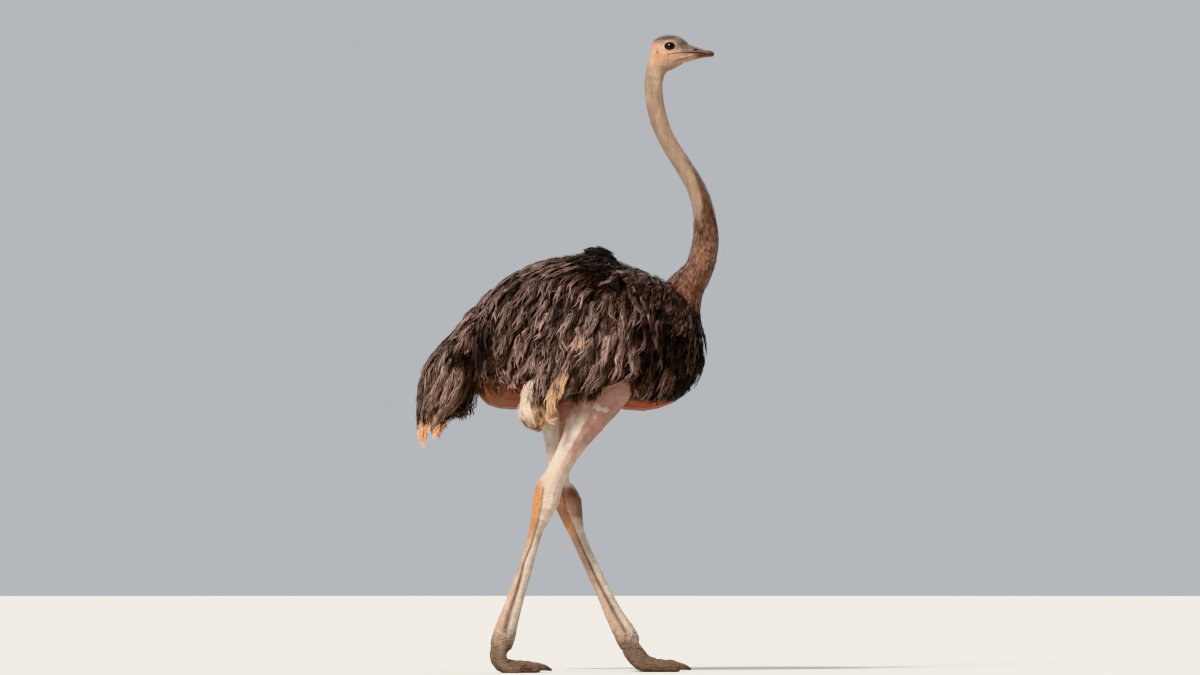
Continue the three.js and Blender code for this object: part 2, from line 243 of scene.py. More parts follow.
class Shader:
    """A material's node tree, built with short calls."""

    def __init__(self, name, roughness=0.6, **sockets):
        self.material = bpy.data.materials.new(name)
        self.material.use_nodes = True
        self.tree = self.material.node_tree
        self.surface = self.tree.nodes["Principled BSDF"]
        self.put(self.surface, "Roughness", roughness)
        for socket, value in sockets.items():
            self.put(self.surface, socket.replace("_", " "), value)
        self.place = self.add("ShaderNodeTexCoord").outputs["Object"]

    def add(self, kind, **settings):
        node = self.tree.nodes.new(kind)
        for key, value in settings.items():
            setattr(node, key, value)
        return node

    def put(self, node, socket, value):
        """Links another node's output to the socket, or sets the socket to a constant."""
        target = node.inputs[socket]
        if isinstance(value, bpy.types.NodeSocket):
            self.tree.links.new(value, target)
        else:
            target.default_value = (*value, 1.0) if target.type == "RGBA" else value

    def attribute(self, name, output="Fac"):
        return self.add("ShaderNodeAttribute", attribute_name=name).outputs[output]

    def texture(self, kind, scale, stretch=(1, 1, 1), **settings):
        """A texture in the part's own frame, finer along an axis where stretch is large."""
        mapping = self.add("ShaderNodeMapping")
        self.put(mapping, "Vector", self.place)
        self.put(mapping, "Scale", stretch)
        node = self.add(kind, **settings)
        self.put(node, "Vector", mapping.outputs["Vector"])
        self.put(node, "Scale", scale)
        return node

    def noise(self, scale, detail=4.0, roughness=0.6, stretch=(1, 1, 1)):
        node = self.texture("ShaderNodeTexNoise", scale, stretch)
        self.put(node, "Detail", detail)
        self.put(node, "Roughness", roughness)
        return node.outputs["Fac"]

    def cell_edges(self, scale):
        return self.texture("ShaderNodeTexVoronoi", scale, feature="DISTANCE_TO_EDGE").outputs["Distance"]

    def maths(self, operation, *values, clamp=False):
        node = self.add("ShaderNodeMath", operation=operation, use_clamp=clamp)
        for index, value in enumerate(values):
            self.put(node, index, value)
        return node.outputs[0]

    def times(self, first, second):
        return self.maths("MULTIPLY", first, second)

    def fit(self, value, low, high, to_low=0.0, to_high=1.0):
        node = self.add("ShaderNodeMapRange")
        self.put(node, "Value", value)
        span = {"From Min": low, "From Max": high, "To Min": to_low, "To Max": to_high}
        for socket, number in span.items():
            self.put(node, socket, number)
        return node.outputs["Result"]

    def mix(self, factor, first, second, mode="MIX"):
        node = self.add("ShaderNodeMix", data_type="RGBA", blend_type=mode)
        self.put(node, "Factor", factor)
        self.put(node, 6, first)
        self.put(node, 7, second)
        return node.outputs[2]

    def tinted(self, first, second):
        return self.mix(1.0, first, second, "MULTIPLY")

    def bump(self, height, strength, distance):
        """Adds relief on top of the relief the surface has."""
        node = self.add("ShaderNodeBump")
        self.put(node, "Strength", strength)
        self.put(node, "Distance", distance)
        self.put(node, "Height", height)
        previous = self.surface.inputs["Normal"].links
        if previous:
            self.put(node, "Normal", previous[0].from_socket)
        self.put(self.surface, "Normal", node.outputs["Normal"])

    def colour(self, value):
        self.put(self.surface, "Base Color", value)

    def rough(self, value):
        self.put(self.surface, "Roughness", value)


def skin_material():
    """Bare skin, scaled shanks and feet, and the face. The mesh says what is where."""
    shader = Shader("skin", 0.62, Subsurface_Weight=0.04, Subsurface_Scale=0.004)
    tone = shader.attribute("tone", "Color")
    scaly = shader.attribute("scaly")
    creased = shader.attribute("creased")
    blotches = shader.fit(shader.noise(28.0, 5.0, 0.65), 0.3, 0.7)
    speckles = shader.fit(shader.noise(420.0, 3.0, 0.7), 0.35, 0.65)
    colour = shader.tinted(tone, shader.mix(blotches, (0.72, 0.68, 0.66), (1.12, 1.1, 1.08)))
    colour = shader.tinted(colour, shader.mix(speckles, (0.84, 0.81, 0.8), (1.08, 1.08, 1.08)))
    joints = shader.fit(shader.cell_edges(150.0), 0.0, 0.09)
    dark_joints = shader.times(shader.maths("SUBTRACT", 1.0, joints), scaly)
    shader.colour(shader.mix(shader.times(dark_joints, 0.55), colour, (0.1, 0.06, 0.045)))
    shader.rough(shader.fit(shader.noise(160.0), 0.3, 0.7, 0.5, 0.78))
    shader.bump(shader.times(joints, scaly), 0.7, 0.0012)
    folds = shader.noise(95.0, 6.0, 0.7, (1.0, 1.0, 0.55))
    shader.bump(shader.times(folds, creased), 0.6, 0.002)
    shader.bump(shader.noise(900.0, 2.0), 0.25, 0.0005)
    return shader.material


def plume_material(name, dark, light, pale, roughness=0.55):
    """Loose barbs, each with its own shade and its own share of the pale colour."""
    shader = Shader(name, roughness, Sheen_Weight=0.12, Sheen_Roughness=0.4, Specular_IOR_Level=0.35)
    drift = shader.fit(shader.noise(14.0, 3.0), 0.32, 0.68, -0.08, 0.08)
    streak = shader.fit(shader.noise(140.0, 3.0, 0.7, (1.0, 1.0, 0.35)), 0.3, 0.7)
    level = shader.times(shader.attribute("shade"), shader.fit(streak, 0.0, 1.0, 0.7, 1.2))
    level = shader.maths("POWER", shader.maths("ADD", level, drift, clamp=True), 1.35)
    shader.colour(shader.mix(shader.attribute("pale"), shader.mix(level, dark, light), pale))
    shader.rough(shader.fit(streak, 0.0, 1.0, roughness - 0.12, roughness + 0.15))
    shader.bump(streak, 0.3, 0.0006)
    return shader.material


def horn_material(name, worn, roughness):
    """Streaked horn with worn, rougher scuffs."""
    shader = Shader(name, roughness, Coat_Weight=0.06, Coat_Roughness=0.35, Specular_IOR_Level=0.35)
    streaks = shader.fit(shader.noise(60.0, 6.0, 0.65, (0.25, 1.0, 1.0)), 0.3, 0.72)
    grain = shader.mix(streaks, (0.76, 0.74, 0.73), (1.14, 1.13, 1.12))
    colour = shader.tinted(shader.attribute("tone", "Color"), grain)
    flecks = shader.fit(shader.noise(420.0, 4.0, 0.8), 0.55, 0.75)
    shader.colour(shader.mix(shader.times(flecks, 0.35), colour, worn))
    shader.rough(shader.fit(flecks, 0.0, 1.0, roughness - 0.08, roughness + 0.2))
    shader.bump(streaks, 0.35, 0.0006)
    shader.bump(shader.noise(1400.0, 2.0), 0.15, 0.0003)
    return shader.material


def eye_material():
    """A big dark pupil in a brown iris under a wet clear coat."""
    wet = {"Coat_Weight": 1.0, "Coat_Roughness": 0.02, "Coat_IOR": 1.38, "Specular_IOR_Level": 0.1}
    shader = Shader("wet_eye", 0.15, **wet)
    ring = shader.attribute("ring")
    fibres = shader.noise(500.0, 4.0, 0.7)
    iris = shader.mix(fibres, (0.012, 0.005, 0.003), (0.04, 0.017, 0.009))
    colour = shader.mix(shader.fit(ring, 0.5, 0.6), (0.002, 0.0015, 0.0015), iris)
    shader.colour(shader.mix(shader.fit(ring, 0.86, 1.0), colour, (0.006, 0.004, 0.004)))
    shader.bump(fibres, 0.1, 0.0002)
    return shader.material


# ---------------------------------------------------------------- the skin
BODY_AXIS = 1.13  # Z of the line that the body's plumes are laid round
COAT_DEPTH = 0.042
FLESH = [
    "trunk", "tail", "wing_right", "wing_left", "neck_base", "neck_middle", "neck_upper", "head",
    *[f"{part}_{side}" for part in ("shank", "tarsus", "foot", "big_toe", "small_toe") for side in SIDES],
]
SHAPED_BY_SKIN = ["eye_right", "eye_left", "bill_upper", "bill_lower"]  # the skin runs on behind these
SKIN_VOXEL = 0.003
EYE = np.array([0.3392, 0.021, 2.0852])
EYE_RADIUS = 0.019
LID_LENGTH = 0.0182
LID_HEIGHT = 0.0132
LID_FOLD = 1.52  # how far out the fold round the lids lies, where the lids' edge is at 1

# Lines and spots are given in the upright plane, as X and Z.
GAPE = [(0.3315, 2.055), (0.345, 2.0592), (0.36, 2.0618), (0.38, 2.0642), (0.4, 2.0656), (0.425, 2.0656)]
LIP = [(x, z - 0.0034) for x, z in GAPE]
JAW_STRIPE = [(0.35, 2.0415), (0.37, 2.0475), (0.39, 2.0515), (0.412, 2.0548)]
JAW_FOLD = [
    (0.35, 2.0325), (0.3632, 2.0375), (0.39, 2.0443), (0.412, 2.0505), (0.434, 2.054), (0.457, 2.0545),
]
STREAK = [(0.3198, 2.058), (0.345, 2.0655), (0.372, 2.0712)]
LORE_FOLDS = [
    [(0.3605, 2.085), (0.374, 2.08), (0.386, 2.078)],
    [(0.362, 2.093), (0.374, 2.091), (0.384, 2.086)],
]
CHEEK_FOLDS = [
    [(0.33, 2.06), (0.3225, 2.053), (0.3215, 2.044)],
    [(0.335, 2.049), (0.331, 2.04), (0.334, 2.031)],
    [(0.312, 2.072), (0.3085, 2.064), (0.3095, 2.056)],
]
THROAT_FOLDS = [
    [(0.318, 2.026), (0.338, 2.0245), (0.36, 2.03)],
    [(0.345, 2.016), (0.362, 2.0235), (0.384, 2.032)],
]
EAR = (0.2985, 2.064)
HEAD_GROOVES = [  # lines, half width and depth
    ([GAPE], 0.0013, 0.003),
    ([LIP], 0.0022, -0.0009),
    ([JAW_FOLD], 0.0017, 0.0014),
    ([JAW_STRIPE], 0.0024, -0.0007),
    (LORE_FOLDS, 0.0014, 0.0009),
    (CHEEK_FOLDS, 0.0016, 0.0009),
    (THROAT_FOLDS, 0.0022, 0.0012),
]
FACE_PATCHES = [  # tone, middle, half sizes and strength
    ("cheek", (0.303, 2.05), (0.02, 0.018), 0.75),
    ("lore", (0.374, 2.084), (0.012, 0.012), 0.6),
    ("throat", (0.36, 2.026), (0.03, 0.01), 0.6),
    ("ruddy_and_shade", (0.33, 2.012), (0.02, 0.01), 0.4),
    ("forehead", (0.391, 2.102), (0.017, 0.012), 0.9),
]
FACE_LINES = [  # tone, lines, half width and strength
    ("yellow", [STREAK], 0.0036, 0.5),
    ("pink", [JAW_STRIPE], 0.0032, 0.55),
    ("pink", LORE_FOLDS[:1], 0.0022, 0.5),
    # The fold and mouth entries paint shade in the face's folds and along the gape.
    ("fold_shade", [JAW_FOLD], 0.0018, 0.8),
    ("fold_shade", CHEEK_FOLDS + THROAT_FOLDS, 0.0013, 0.35),
    ("mouth", [GAPE], 0.0013, 0.95),
]
HOCK_HEIGHT = 0.575
FAR_HOCK = np.array([0.008, 0.1, 0.556])  # the left one has painted shade, as if in the near leg's shadow
SINEWS = {  # the groove between tendon and bone
    "right": [(-0.0785, 0.64), (-0.0835, 0.592), (-0.0865, 0.55), (-0.101, 0.49), (-0.1215, 0.42),
              (-0.1468, 0.363), (-0.159, 0.305), (-0.175, 0.248), (-0.1935, 0.191), (-0.205, 0.14)],
    "left": [(-0.012, 0.62), (-0.015, 0.58), (-0.006, 0.535), (0.018, 0.485), (0.0432, 0.425),
             (0.068, 0.37), (0.0975, 0.305), (0.133, 0.24), (0.164, 0.183), (0.192, 0.135)],
}
KNOBS = {  # X, Z and half size of the swellings at the joints
    "right": [(-0.0535, 0.552, 0.02), (-0.212, 0.125, 0.026)],
    "left": [(0.024, 0.57, 0.024), (0.201, 0.122, 0.026)],
}
SKIN_AREAS = [  # the solids of each kind of skin, and how deep it lies under them
    (["head"], 0.001),
    (["neck_upper"], 0.004),
    (["neck_middle"], 0.007),
    (["neck_base"], 0.012),
    (["trunk", "tail", "wing_right", "wing_left"], COAT_DEPTH),
    (["shank_right", "shank_left"], 0.0),
    (["tarsus_right", "tarsus_left"], 0.0),
    ([f"{part}_{side}" for part in ("foot", "big_toe", "small_toe") for side in SIDES], 0.0),
]
UNDER_BILL = 0.424  # X, how far the skin runs on under the horn
NECK_TOP = 2.0  # Z, over which the head's folds, freckles and hairs lie

BARE_BELLY = [(-0.32, 0.985), (-0.12, 0.975), (0.08, 0.95), (0.18, 0.905), (0.36, 0.895)]  # its upper edge

TONES = {
    # hidden: near black, dark down and painted shade for the skin that shows in the coat's gaps
    "hidden": (0.022, 0.015, 0.012),
    # belly: orange, partly painted bounce light from the ground
    "belly": (0.25, 0.094, 0.053),
    # front strip of the belly: stronger painted bounce light
    "front_belly": (0.3, 0.072, 0.034),
    # thigh: pinkish grey, darkened and reddened partly as painted shade and painted bounce light
    "thigh": (0.42, 0.24, 0.195),
    # pale: whitish skin, also used as painted sunlight on the lower thigh
    "pale": (0.78, 0.69, 0.59),
    "shank": (0.62, 0.47, 0.37),
    # Painted orange glow of light through the thigh's skin.
    "painted_glow": (0.46, 0.17, 0.08),
    "hock": (0.58, 0.28, 0.12),
    # Painted shade for the left hock, as if the near leg shadowed it.
    "painted_shade_hock": (0.18, 0.078, 0.048),
    "bone": (0.66, 0.55, 0.45),
    "tendon": (0.58, 0.43, 0.32),
    # groove: painted shade in the groove down each tarsus, also dark spots low on the feet
    "groove": (0.13, 0.082, 0.058),
    # foot: dark brown, partly painted shade
    "foot": (0.2, 0.128, 0.094),
    "neck": (0.47, 0.345, 0.26),
    "neck_low": (0.16, 0.085, 0.06),
    "face": (0.56, 0.345, 0.235),
    "crown": (0.35, 0.265, 0.205),
    "forehead": (0.1, 0.078, 0.07),
    "lid": (0.56, 0.39, 0.31),
    "rim": (0.045, 0.025, 0.022),
    # mouth: near black, painted shade in the gape, the ear's opening, the nostrils and inside the bill
    "mouth": (0.07, 0.033, 0.03),
    "cheek": (0.64, 0.345, 0.16),
    "lore": (0.37, 0.275, 0.225),
    "throat": (0.5, 0.36, 0.22),
    # ruddy: the face's own ruddy patch, and painted shade on the thigh's front
    "ruddy_and_shade": (0.44, 0.2, 0.13),
    "yellow": (0.63, 0.44, 0.25),
    "pink": (0.72, 0.45, 0.36),
    # fold: painted shade in the face's folds and round the lids
    "fold_shade": (0.27, 0.09, 0.055),
    "root": (0.3, 0.215, 0.17),
    "bill_upper": (0.17, 0.125, 0.104),
    "bill_lower": (0.12, 0.052, 0.036),
    "culmen": (0.1, 0.08, 0.075),
    "nail": (0.125, 0.05, 0.033),
    "edge": (0.025, 0.016, 0.014),
    "claw": (0.15, 0.1, 0.07),
    "claw_tip": (0.05, 0.035, 0.028),
}


class Paint:
    """Colours laid over one another at some points."""

    def __init__(self, tone, count):
        self.colour = np.tile(np.array(TONES[tone]), (count, 1))

    def lay(self, tone, weight):
        self.colour = blend(self.colour, np.array(TONES[tone]), clamp(weight)[:, None])


def shrink_plumed(name, points):
    """Moves the solids' points to where their flesh is.

    The wings and the tail are mostly plumes, so their flesh is much smaller than their outline. Of the
    bill only the root is kept, for the skin to run on under the horn.
    """
    points = points.copy()
    if name.startswith("bill"):
        points[:, 0] = np.minimum(points[:, 0], UNDER_BILL)
    if name == "tail":
        root = np.array([-0.305, 0.0, 1.14])
        return root + (points - root) * (0.35, 0.6, 0.45)
    if name.startswith("wing"):
        low = points[:, 2] < 0.985
        points[low, 2] = 0.985 + (points[low, 2] - 0.985) * 0.12
        root = mirrored((0.06, 0.12, 1.12), SIDES[name.split("_")[1]])
        return root + (points - root) * (0.85, 0.72, 0.8)
    return points


def nearest_areas(points):
    """Which of the skin's areas each point lies nearest to, as one weight column for each area."""
    places, faces, owners = [], [], []
    for index, (names, _) in enumerate(SKIN_AREAS):
        for name in names:
            start = len(places)
            places.extend(mesh_points(NODES[name].data).tolist())
            for polygon in NODES[name].data.polygons:
                faces.append([start + v for v in polygon.vertices])
                owners.append(index)
    tree = BVHTree.FromPolygons(places, faces)
    weights = np.zeros((len(points), len(SKIN_AREAS)))
    for row, point in enumerate(points):
        weights[row, owners[tree.find_nearest(point)[2]]] = 1.0
    return weights


def line_distance(points, line):
    """Distance in the upright plane from each point to a line."""
    flat = points[:, [0, 2]]
    line = np.array(line)
    closest = np.full(len(points), 1e9)
    for start, end in zip(line[:-1], line[1:]):
        along = end - start
        share = clamp(((flat - start) @ along) / (along @ along))
        closest = np.minimum(closest, np.linalg.norm(flat - (start + share[:, None] * along), axis=1))
    return closest


def near_lines(points, lines, width):
    """How close each point is to the nearest of some lines, from 0 to 1."""
    closest = np.min([line_distance(points, line) for line in lines], axis=0)
    return bell(closest, width)


def near_spot(points, middle, size):
    """How close each point is to a spot in the upright plane, from 0 to 1."""
    across = (points[:, 0] - middle[0]) / size[0]
    upward = (points[:, 2] - middle[1]) / size[1]
    return np.exp(-(across**2) - upward**2)


def lid_distance(points, side):
    """Distance from the eye's centre in the upright plane, 1 on the edge of the lids."""
    across = (points[:, 0] - EYE[0]) / LID_LENGTH
    upward = (points[:, 2] - EYE[2]) / LID_HEIGHT
    return np.where(points[:, 1] * side > 0.008, np.hypot(across, upward), 9.0)


def nearest_lids(points):
    """The lid distance to the nearer eye."""
    return np.minimum(lid_distance(points, 1.0), lid_distance(points, -1.0))


def shape_eye(points, side):
    """Sinks the skin under the eyeball, and raises the lids, the folds round them and the brow."""
    away = lid_distance(points, side)
    eye = mirrored(EYE, side)
    outward = points - eye
    reach = np.linalg.norm(outward, axis=1)
    target = blend(reach, EYE_RADIUS - 0.004, 1.0 - smoothstep(0.88, 1.0, away))
    lid = smoothstep(0.9, 1.02, away) * (1.0 - smoothstep(1.08, 1.5, away))
    target = blend(target, np.maximum(EYE_RADIUS + 0.0014, target * 0.985), lid)
    target -= 0.0013 * bell(away - LID_FOLD, 0.1)
    target -= 0.0008 * bell(away - 2.0, 0.12) * (points[:, 2] < EYE[2])
    near = away < 3.0
    points[near] = (eye + outward * (target / np.maximum(reach, 1e-6))[:, None])[near]
    brow = near_spot(points, (EYE[0] + 0.003, EYE[2] + 0.0185), (0.022, 0.0052))
    ear = near_spot(points, EAR, (0.0042, 0.0055))
    rim = near_spot(points, EAR, (0.0085, 0.01)) - ear
    points[:, 1] += side * (0.0034 * brow - 0.0034 * ear + 0.0012 * rim) * (points[:, 1] * side > 0.01)


def shape_head(points, normals):
    """Lids, brows and ears, and then the grooves of the face on both of its sides."""
    points = points.copy()
    for side in SIDES.values():
        shape_eye(points, side)
    head = smoothstep(1.99, 2.01, points[:, 2]) * clamp(np.abs(normals[:, 1]) * 2.0)
    for lines, width, depth in HEAD_GROOVES:
        points -= normals * (depth * near_lines(points, lines, width) * head)[:, None]
    return points


def shape_legs(points, normals, shank, foot):
    """Sinews down the shanks, knobs at the joints, ridged scutes down the front and plates on the toes."""
    height = points[:, 2]
    sides = clamp(np.abs(normals[:, 1]) * 1.5)
    legs = clamp(shank + foot + smoothstep(0.72, 0.64, height))
    change = np.zeros(len(points))
    groove = np.zeros(len(points))
    for name, side in SIDES.items():
        mine = (points[:, 1] * side > 0) * (height < 0.7)
        width = blend(0.0105, 0.0036, smoothstep(0.15, 0.42, height))
        depth = blend(0.0095, 0.0035, smoothstep(0.22, 0.45, height)) * smoothstep(0.105, 0.15, height)
        here = bell(line_distance(points, SINEWS[name]), width) * sides * mine
        change -= here * depth * legs
        groove += here * smoothstep(0.105, 0.15, height)
        for x, z, size in KNOBS[name]:
            change += 0.0045 * near_spot(points, (x, z), (size, size * 0.8)) * sides * mine
    front = clamp(normals[:, 0]) ** 0.7
    rings = np.abs(np.sin(height * math.pi / 0.0115 + 0.8 * noise3(points, 0.03, 4)))
    change -= 0.0015 * (1.0 - smoothstep(0.0, 0.4, rings)) * front * shank * smoothstep(0.5, 0.42, height)
    plates = np.abs(np.sin((points[:, 0] + 0.4 * height) * math.pi / 0.0085))
    above = clamp(normals[:, 2] + 0.3)
    change -= 0.0016 * (1.0 - smoothstep(0.0, 0.45, plates)) * above * foot * smoothstep(0.09, 0.06, height)
    rough = layered_noise(points, 0.012, 5)
    change += rough * (0.0018 * foot + 0.0007 * shank) + 0.0034 * layered_noise(points, 0.028, 8) * foot
    folds = 1.0 - np.abs(layered_noise(points * (1.0, 1.0, 2.2), 0.022, 6))
    at_hock = bell(height - HOCK_HEIGHT, 0.04) * legs
    folded = np.maximum(smoothstep(0.2, 0.12, height) * foot, 0.7 * at_hock)
    change -= 0.0022 * smoothstep(0.86, 0.98, folds) * folded
    return points + normals * change[:, None], clamp(groove)


def muzzle(points):
    """How far forward a point of the face lies, measured along the slant of the bill's root."""
    return points[:, 0] + 0.5 * (points[:, 2] - 2.07)


def face_colour(points, mottle):
    """The face's colours, which run on over the root of the bill."""
    x, y, z = points.T
    paint = Paint("face", len(points))
    paint.lay("root", smoothstep(0.362, 0.392, muzzle(points) + 0.004 * mottle))
    for tone, middle, size, strength in FACE_PATCHES:
        paint.lay(tone, strength * near_spot(points, middle, size) * (1.0 + 0.4 * mottle))
    crown = smoothstep(2.092, 2.11, z + 0.12 * (x - 0.34) + 0.005 * mottle)
    paint.lay("crown", crown * smoothstep(0.41, 0.39, x))
    paint.lay("forehead", 0.85 * near_spot(points, (0.389, 2.104), (0.015, 0.012)))
    for tone, lines, width, strength in FACE_LINES:
        paint.lay(tone, strength * near_lines(points, lines, width))
    freckles = layered_noise(points, 0.0065, 37)
    return paint.colour * (1.0 + np.outer(freckles, (0.12, 0.2, 0.24)))


def paint_body(paint, points, normals, body, thigh, mottle, fine):
    """Skin near black under the plumes, partly painted shade; an orange belly and pale thighs, partly
    painted light.
    """
    x, y, z = points.T
    low = curve(x, BARE_BELLY)
    # The belly's orange is partly painted bounce light from the ground, stronger on its front strip.
    paint.lay("belly", body * (1.0 - smoothstep(low - 0.02, low + 0.02, z + 0.01 * fine)))
    paint.lay("front_belly", body * smoothstep(0.12, 0.2, x) * (1.0 - smoothstep(0.895, 0.905, z)))
    # Near-black blotches under the plumes: dark down and painted shade.
    paint.lay("hidden", body * 0.5 * smoothstep(0.1, 0.7, fine + 0.5 * mottle))
    paint.lay("thigh", thigh)
    # Painted orange glow of light through the skin at the rear top of the right thigh.
    paint.lay("painted_glow", thigh * 0.85 * near_spot(points, (-0.04, 0.885), (0.034, 0.06)) * (y < 0))
    # Painted shade on the front of the lower thigh, which faces away from the key lamp.
    paint.lay("ruddy_and_shade", thigh * 0.45 * clamp(normals[:, 0]) * smoothstep(0.9, 0.8, z))
    paint.lay("shank", thigh * (1.0 - smoothstep(0.66, 0.8, z)))
    # Painted highlight on the side of the lower thigh that faces the key lamp, partly whitish skin.
    lit = smoothstep(0.15, -0.35, normals[:, 0]) * smoothstep(0.63, 0.68, z)
    paint.lay("pale", thigh * lit * smoothstep(0.9, 0.79, z + 0.05 * fine) * 0.85)
    # Pale flecks: partly whitish skin, partly painted patches of sunlight at the edge of the wing's shadow.
    flecks = smoothstep(0.35, 0.6, layered_noise(points, 0.03, 35) + 0.4 * fine)
    paint.lay("pale", thigh * 0.55 * flecks * smoothstep(0.92, 0.86, z) * smoothstep(0.76, 0.82, z))


def paint_lower_legs(paint, points, lower, groove, mottle, fine):
    """Pale bone in front, tan tendon behind, orange hocks, dusty feet; painted shade on the left hock and in
    the groove.
    """
    x, y, z = points.T
    for name, side in SIDES.items():
        behind, height = np.array(SINEWS[name])[::-1].T
        ahead = x - np.interp(z, height, behind) + 0.004 * fine
        mine = (y * side > 0) * lower
        paint.lay("bone", mine * smoothstep(-0.004, 0.006, ahead))
        paint.lay("tendon", mine * smoothstep(0.004, -0.006, ahead))
        at_hock = smoothstep(0.36, 0.5, z + 0.03 * mottle) * smoothstep(0.68, 0.63, z + 0.02 * mottle)
        paint.lay("hock", mine * smoothstep(0.0, -0.01, ahead) * at_hock)
    # Painted shade on the left hock, as if the near leg shadowed it.
    from_hock = np.linalg.norm((points - FAR_HOCK) / (0.07, 0.07, 0.085), axis=1)
    dark = (y > 0) * lower * 0.9
    paint.lay("painted_shade_hock", dark * (1.0 - smoothstep(0.6, 1.15, from_hock + 0.3 * mottle)))
    # Painted shade in the groove between tendon and bone.
    deep = groove**1.5 * blend(0.62, 0.4, smoothstep(0.25, 0.45, z))
    paint.lay("groove", deep * lower * (1.0 + 0.7 * fine))
    # Dusty dark-brown feet, partly painted shade.
    paint.lay("foot", lower * smoothstep(0.15, 0.065, z + 0.03 * mottle + 0.02 * fine))
    paint.lay("groove", lower * 0.35 * smoothstep(0.1, 0.5, fine) * smoothstep(0.25, 0.12, z))


def paint_skin(points, normals, weights, groove):
    """The skin's colours by place."""
    head, upper, middle, base, body, thigh, tarsus, foot = weights.T
    z = points[:, 2]
    mottle = layered_noise(points, 0.05, 31)
    fine = layered_noise(points, 0.018, 33)
    paint = Paint("hidden", len(points))
    paint_body(paint, points, normals, body, thigh, mottle, fine)
    lower = tarsus + foot + thigh * smoothstep(0.66, 0.6, z)
    paint_lower_legs(paint, points, lower, groove, mottle, fine)
    sandy = sandy_share(points)
    paint.lay("neck_low", base)
    paint.lay("neck", (middle + upper) * sandy)
    paint.lay("neck_low", middle * (1.0 - sandy))
    face = smoothstep(1.995, 2.03, z)
    paint.colour = blend(paint.colour, face_colour(points, fine), (head * face)[:, None])
    paint.lay("neck", head * (1.0 - face))
    for side in SIDES.values():
        away = lid_distance(points, side)
        paint.lay("lid", head * 0.8 * smoothstep(0.9, 1.0, away) * (1.0 - smoothstep(1.3, 1.75, away)))
        paint.lay("rim", 1.0 - smoothstep(0.97, 1.04, away))
        # Painted shade in the fold round the lids.
        paint.lay("fold_shade", head * 0.3 * bell(away - LID_FOLD, 0.1))
    # Painted shade in the ear's opening.
    paint.lay("mouth", head * 0.8 * near_spot(points, EAR, (0.0036, 0.0046)) * (np.abs(points[:, 1]) > 0.02))
    return clamp(paint.colour * (1.0 + 0.12 * mottle + 0.06 * fine)[:, None])


def lid_ring(tree, side, around=96):
    """A soft roll of skin round the eye's opening, from under the skin in to the eyeball."""
    scale = np.array([0.915, 0.945, 0.975, 1.01, 1.06, 1.12, 1.19, 1.27])
    climb = np.array([0.0, 0.5, 0.85, 1.0, 1.0, 1.0, 1.0, 1.0])
    raised = np.array([0.0, 0.0, 0.0003, 0.0007, 0.001, 0.0009, 0.0002, -0.0016])
    angles = np.linspace(0.0, 2.0 * math.pi, around, endpoint=False)
    rims = np.stack([np.cos(angles) * LID_LENGTH, np.sin(angles) * LID_HEIGHT], axis=1)
    across = Vector((0.0, -side, 0.0))
    beside = [Vector((EYE[0] + rim[0] * 1.2, side * 0.09, EYE[2] + rim[1] * 1.2)) for rim in rims]
    skin = np.array([side * tree.ray_cast(place, across)[0].y for place in beside])
    skin = np.mean([np.roll(skin, shift) for shift in range(-6, 7)], axis=0)
    points = []
    for angle, rim, outer in zip(angles, rims, skin):
        inner = EYE[1] + math.sqrt(EYE_RADIUS**2 - (rim * scale[0]) @ (rim * scale[0])) - 0.0004
        depths = inner + (outer - inner) * climb + raised * (1.2 + 0.8 * max(math.sin(angle), 0.0))
        for factor, depth in zip(scale, depths):
            points.append((EYE[0] + rim[0] * factor, side * depth, EYE[2] + rim[1] * factor))
    over = len(scale)
    faces = []
    for step in range(around):
        ahead = (step + 1) % around
        for turn in range(over - 1):
            face = (step * over + turn, step * over + turn + 1, ahead * over + turn + 1, ahead * over + turn)
            faces.append(face if side < 0 else face[::-1])
    tone = blend(np.array(TONES["rim"]), np.array(TONES["lid"]), smoothstep(0.96, 1.05, scale)[:, None])
    return points, faces, np.tile(tone, (around, 1))


def refine(mesh, *wanted):
    """Cuts the faces in each wanted place into smaller ones, one place after the other."""
    cutter = bmesh.new()
    cutter.from_mesh(mesh)
    for chooses in wanted:
        cutter.verts.index_update()
        picked = chooses(np.array([vertex.co[:] for vertex in cutter.verts]))
        chosen = [edge for edge in cutter.edges if all(picked[vertex.index] for vertex in edge.verts)]
        bmesh.ops.subdivide_edges(cutter, edges=chosen, cuts=1, use_grid_fill=True)
        bmesh.ops.triangulate(cutter, faces=[face for face in cutter.faces if len(face.verts) > 4])
    finer = finished(cutter, "skin")
    for material in mesh.materials:
        finer.materials.append(material)
    return finer


def shaped_finely(points):
    """The head, the lower legs and the hocks."""
    height = points[:, 2]
    return (height > NECK_TOP) | (height < 0.44) | (np.abs(height - HOCK_HEIGHT) < 0.055)


def shaped_finest(points):
    """The places on the head that are near an eye's lids or a long fold of the face."""
    folds = np.minimum(line_distance(points, GAPE), line_distance(points, JAW_FOLD)) < 0.005
    return (points[:, 2] > NECK_TOP) & ((nearest_lids(points) < 1.7) | folds)


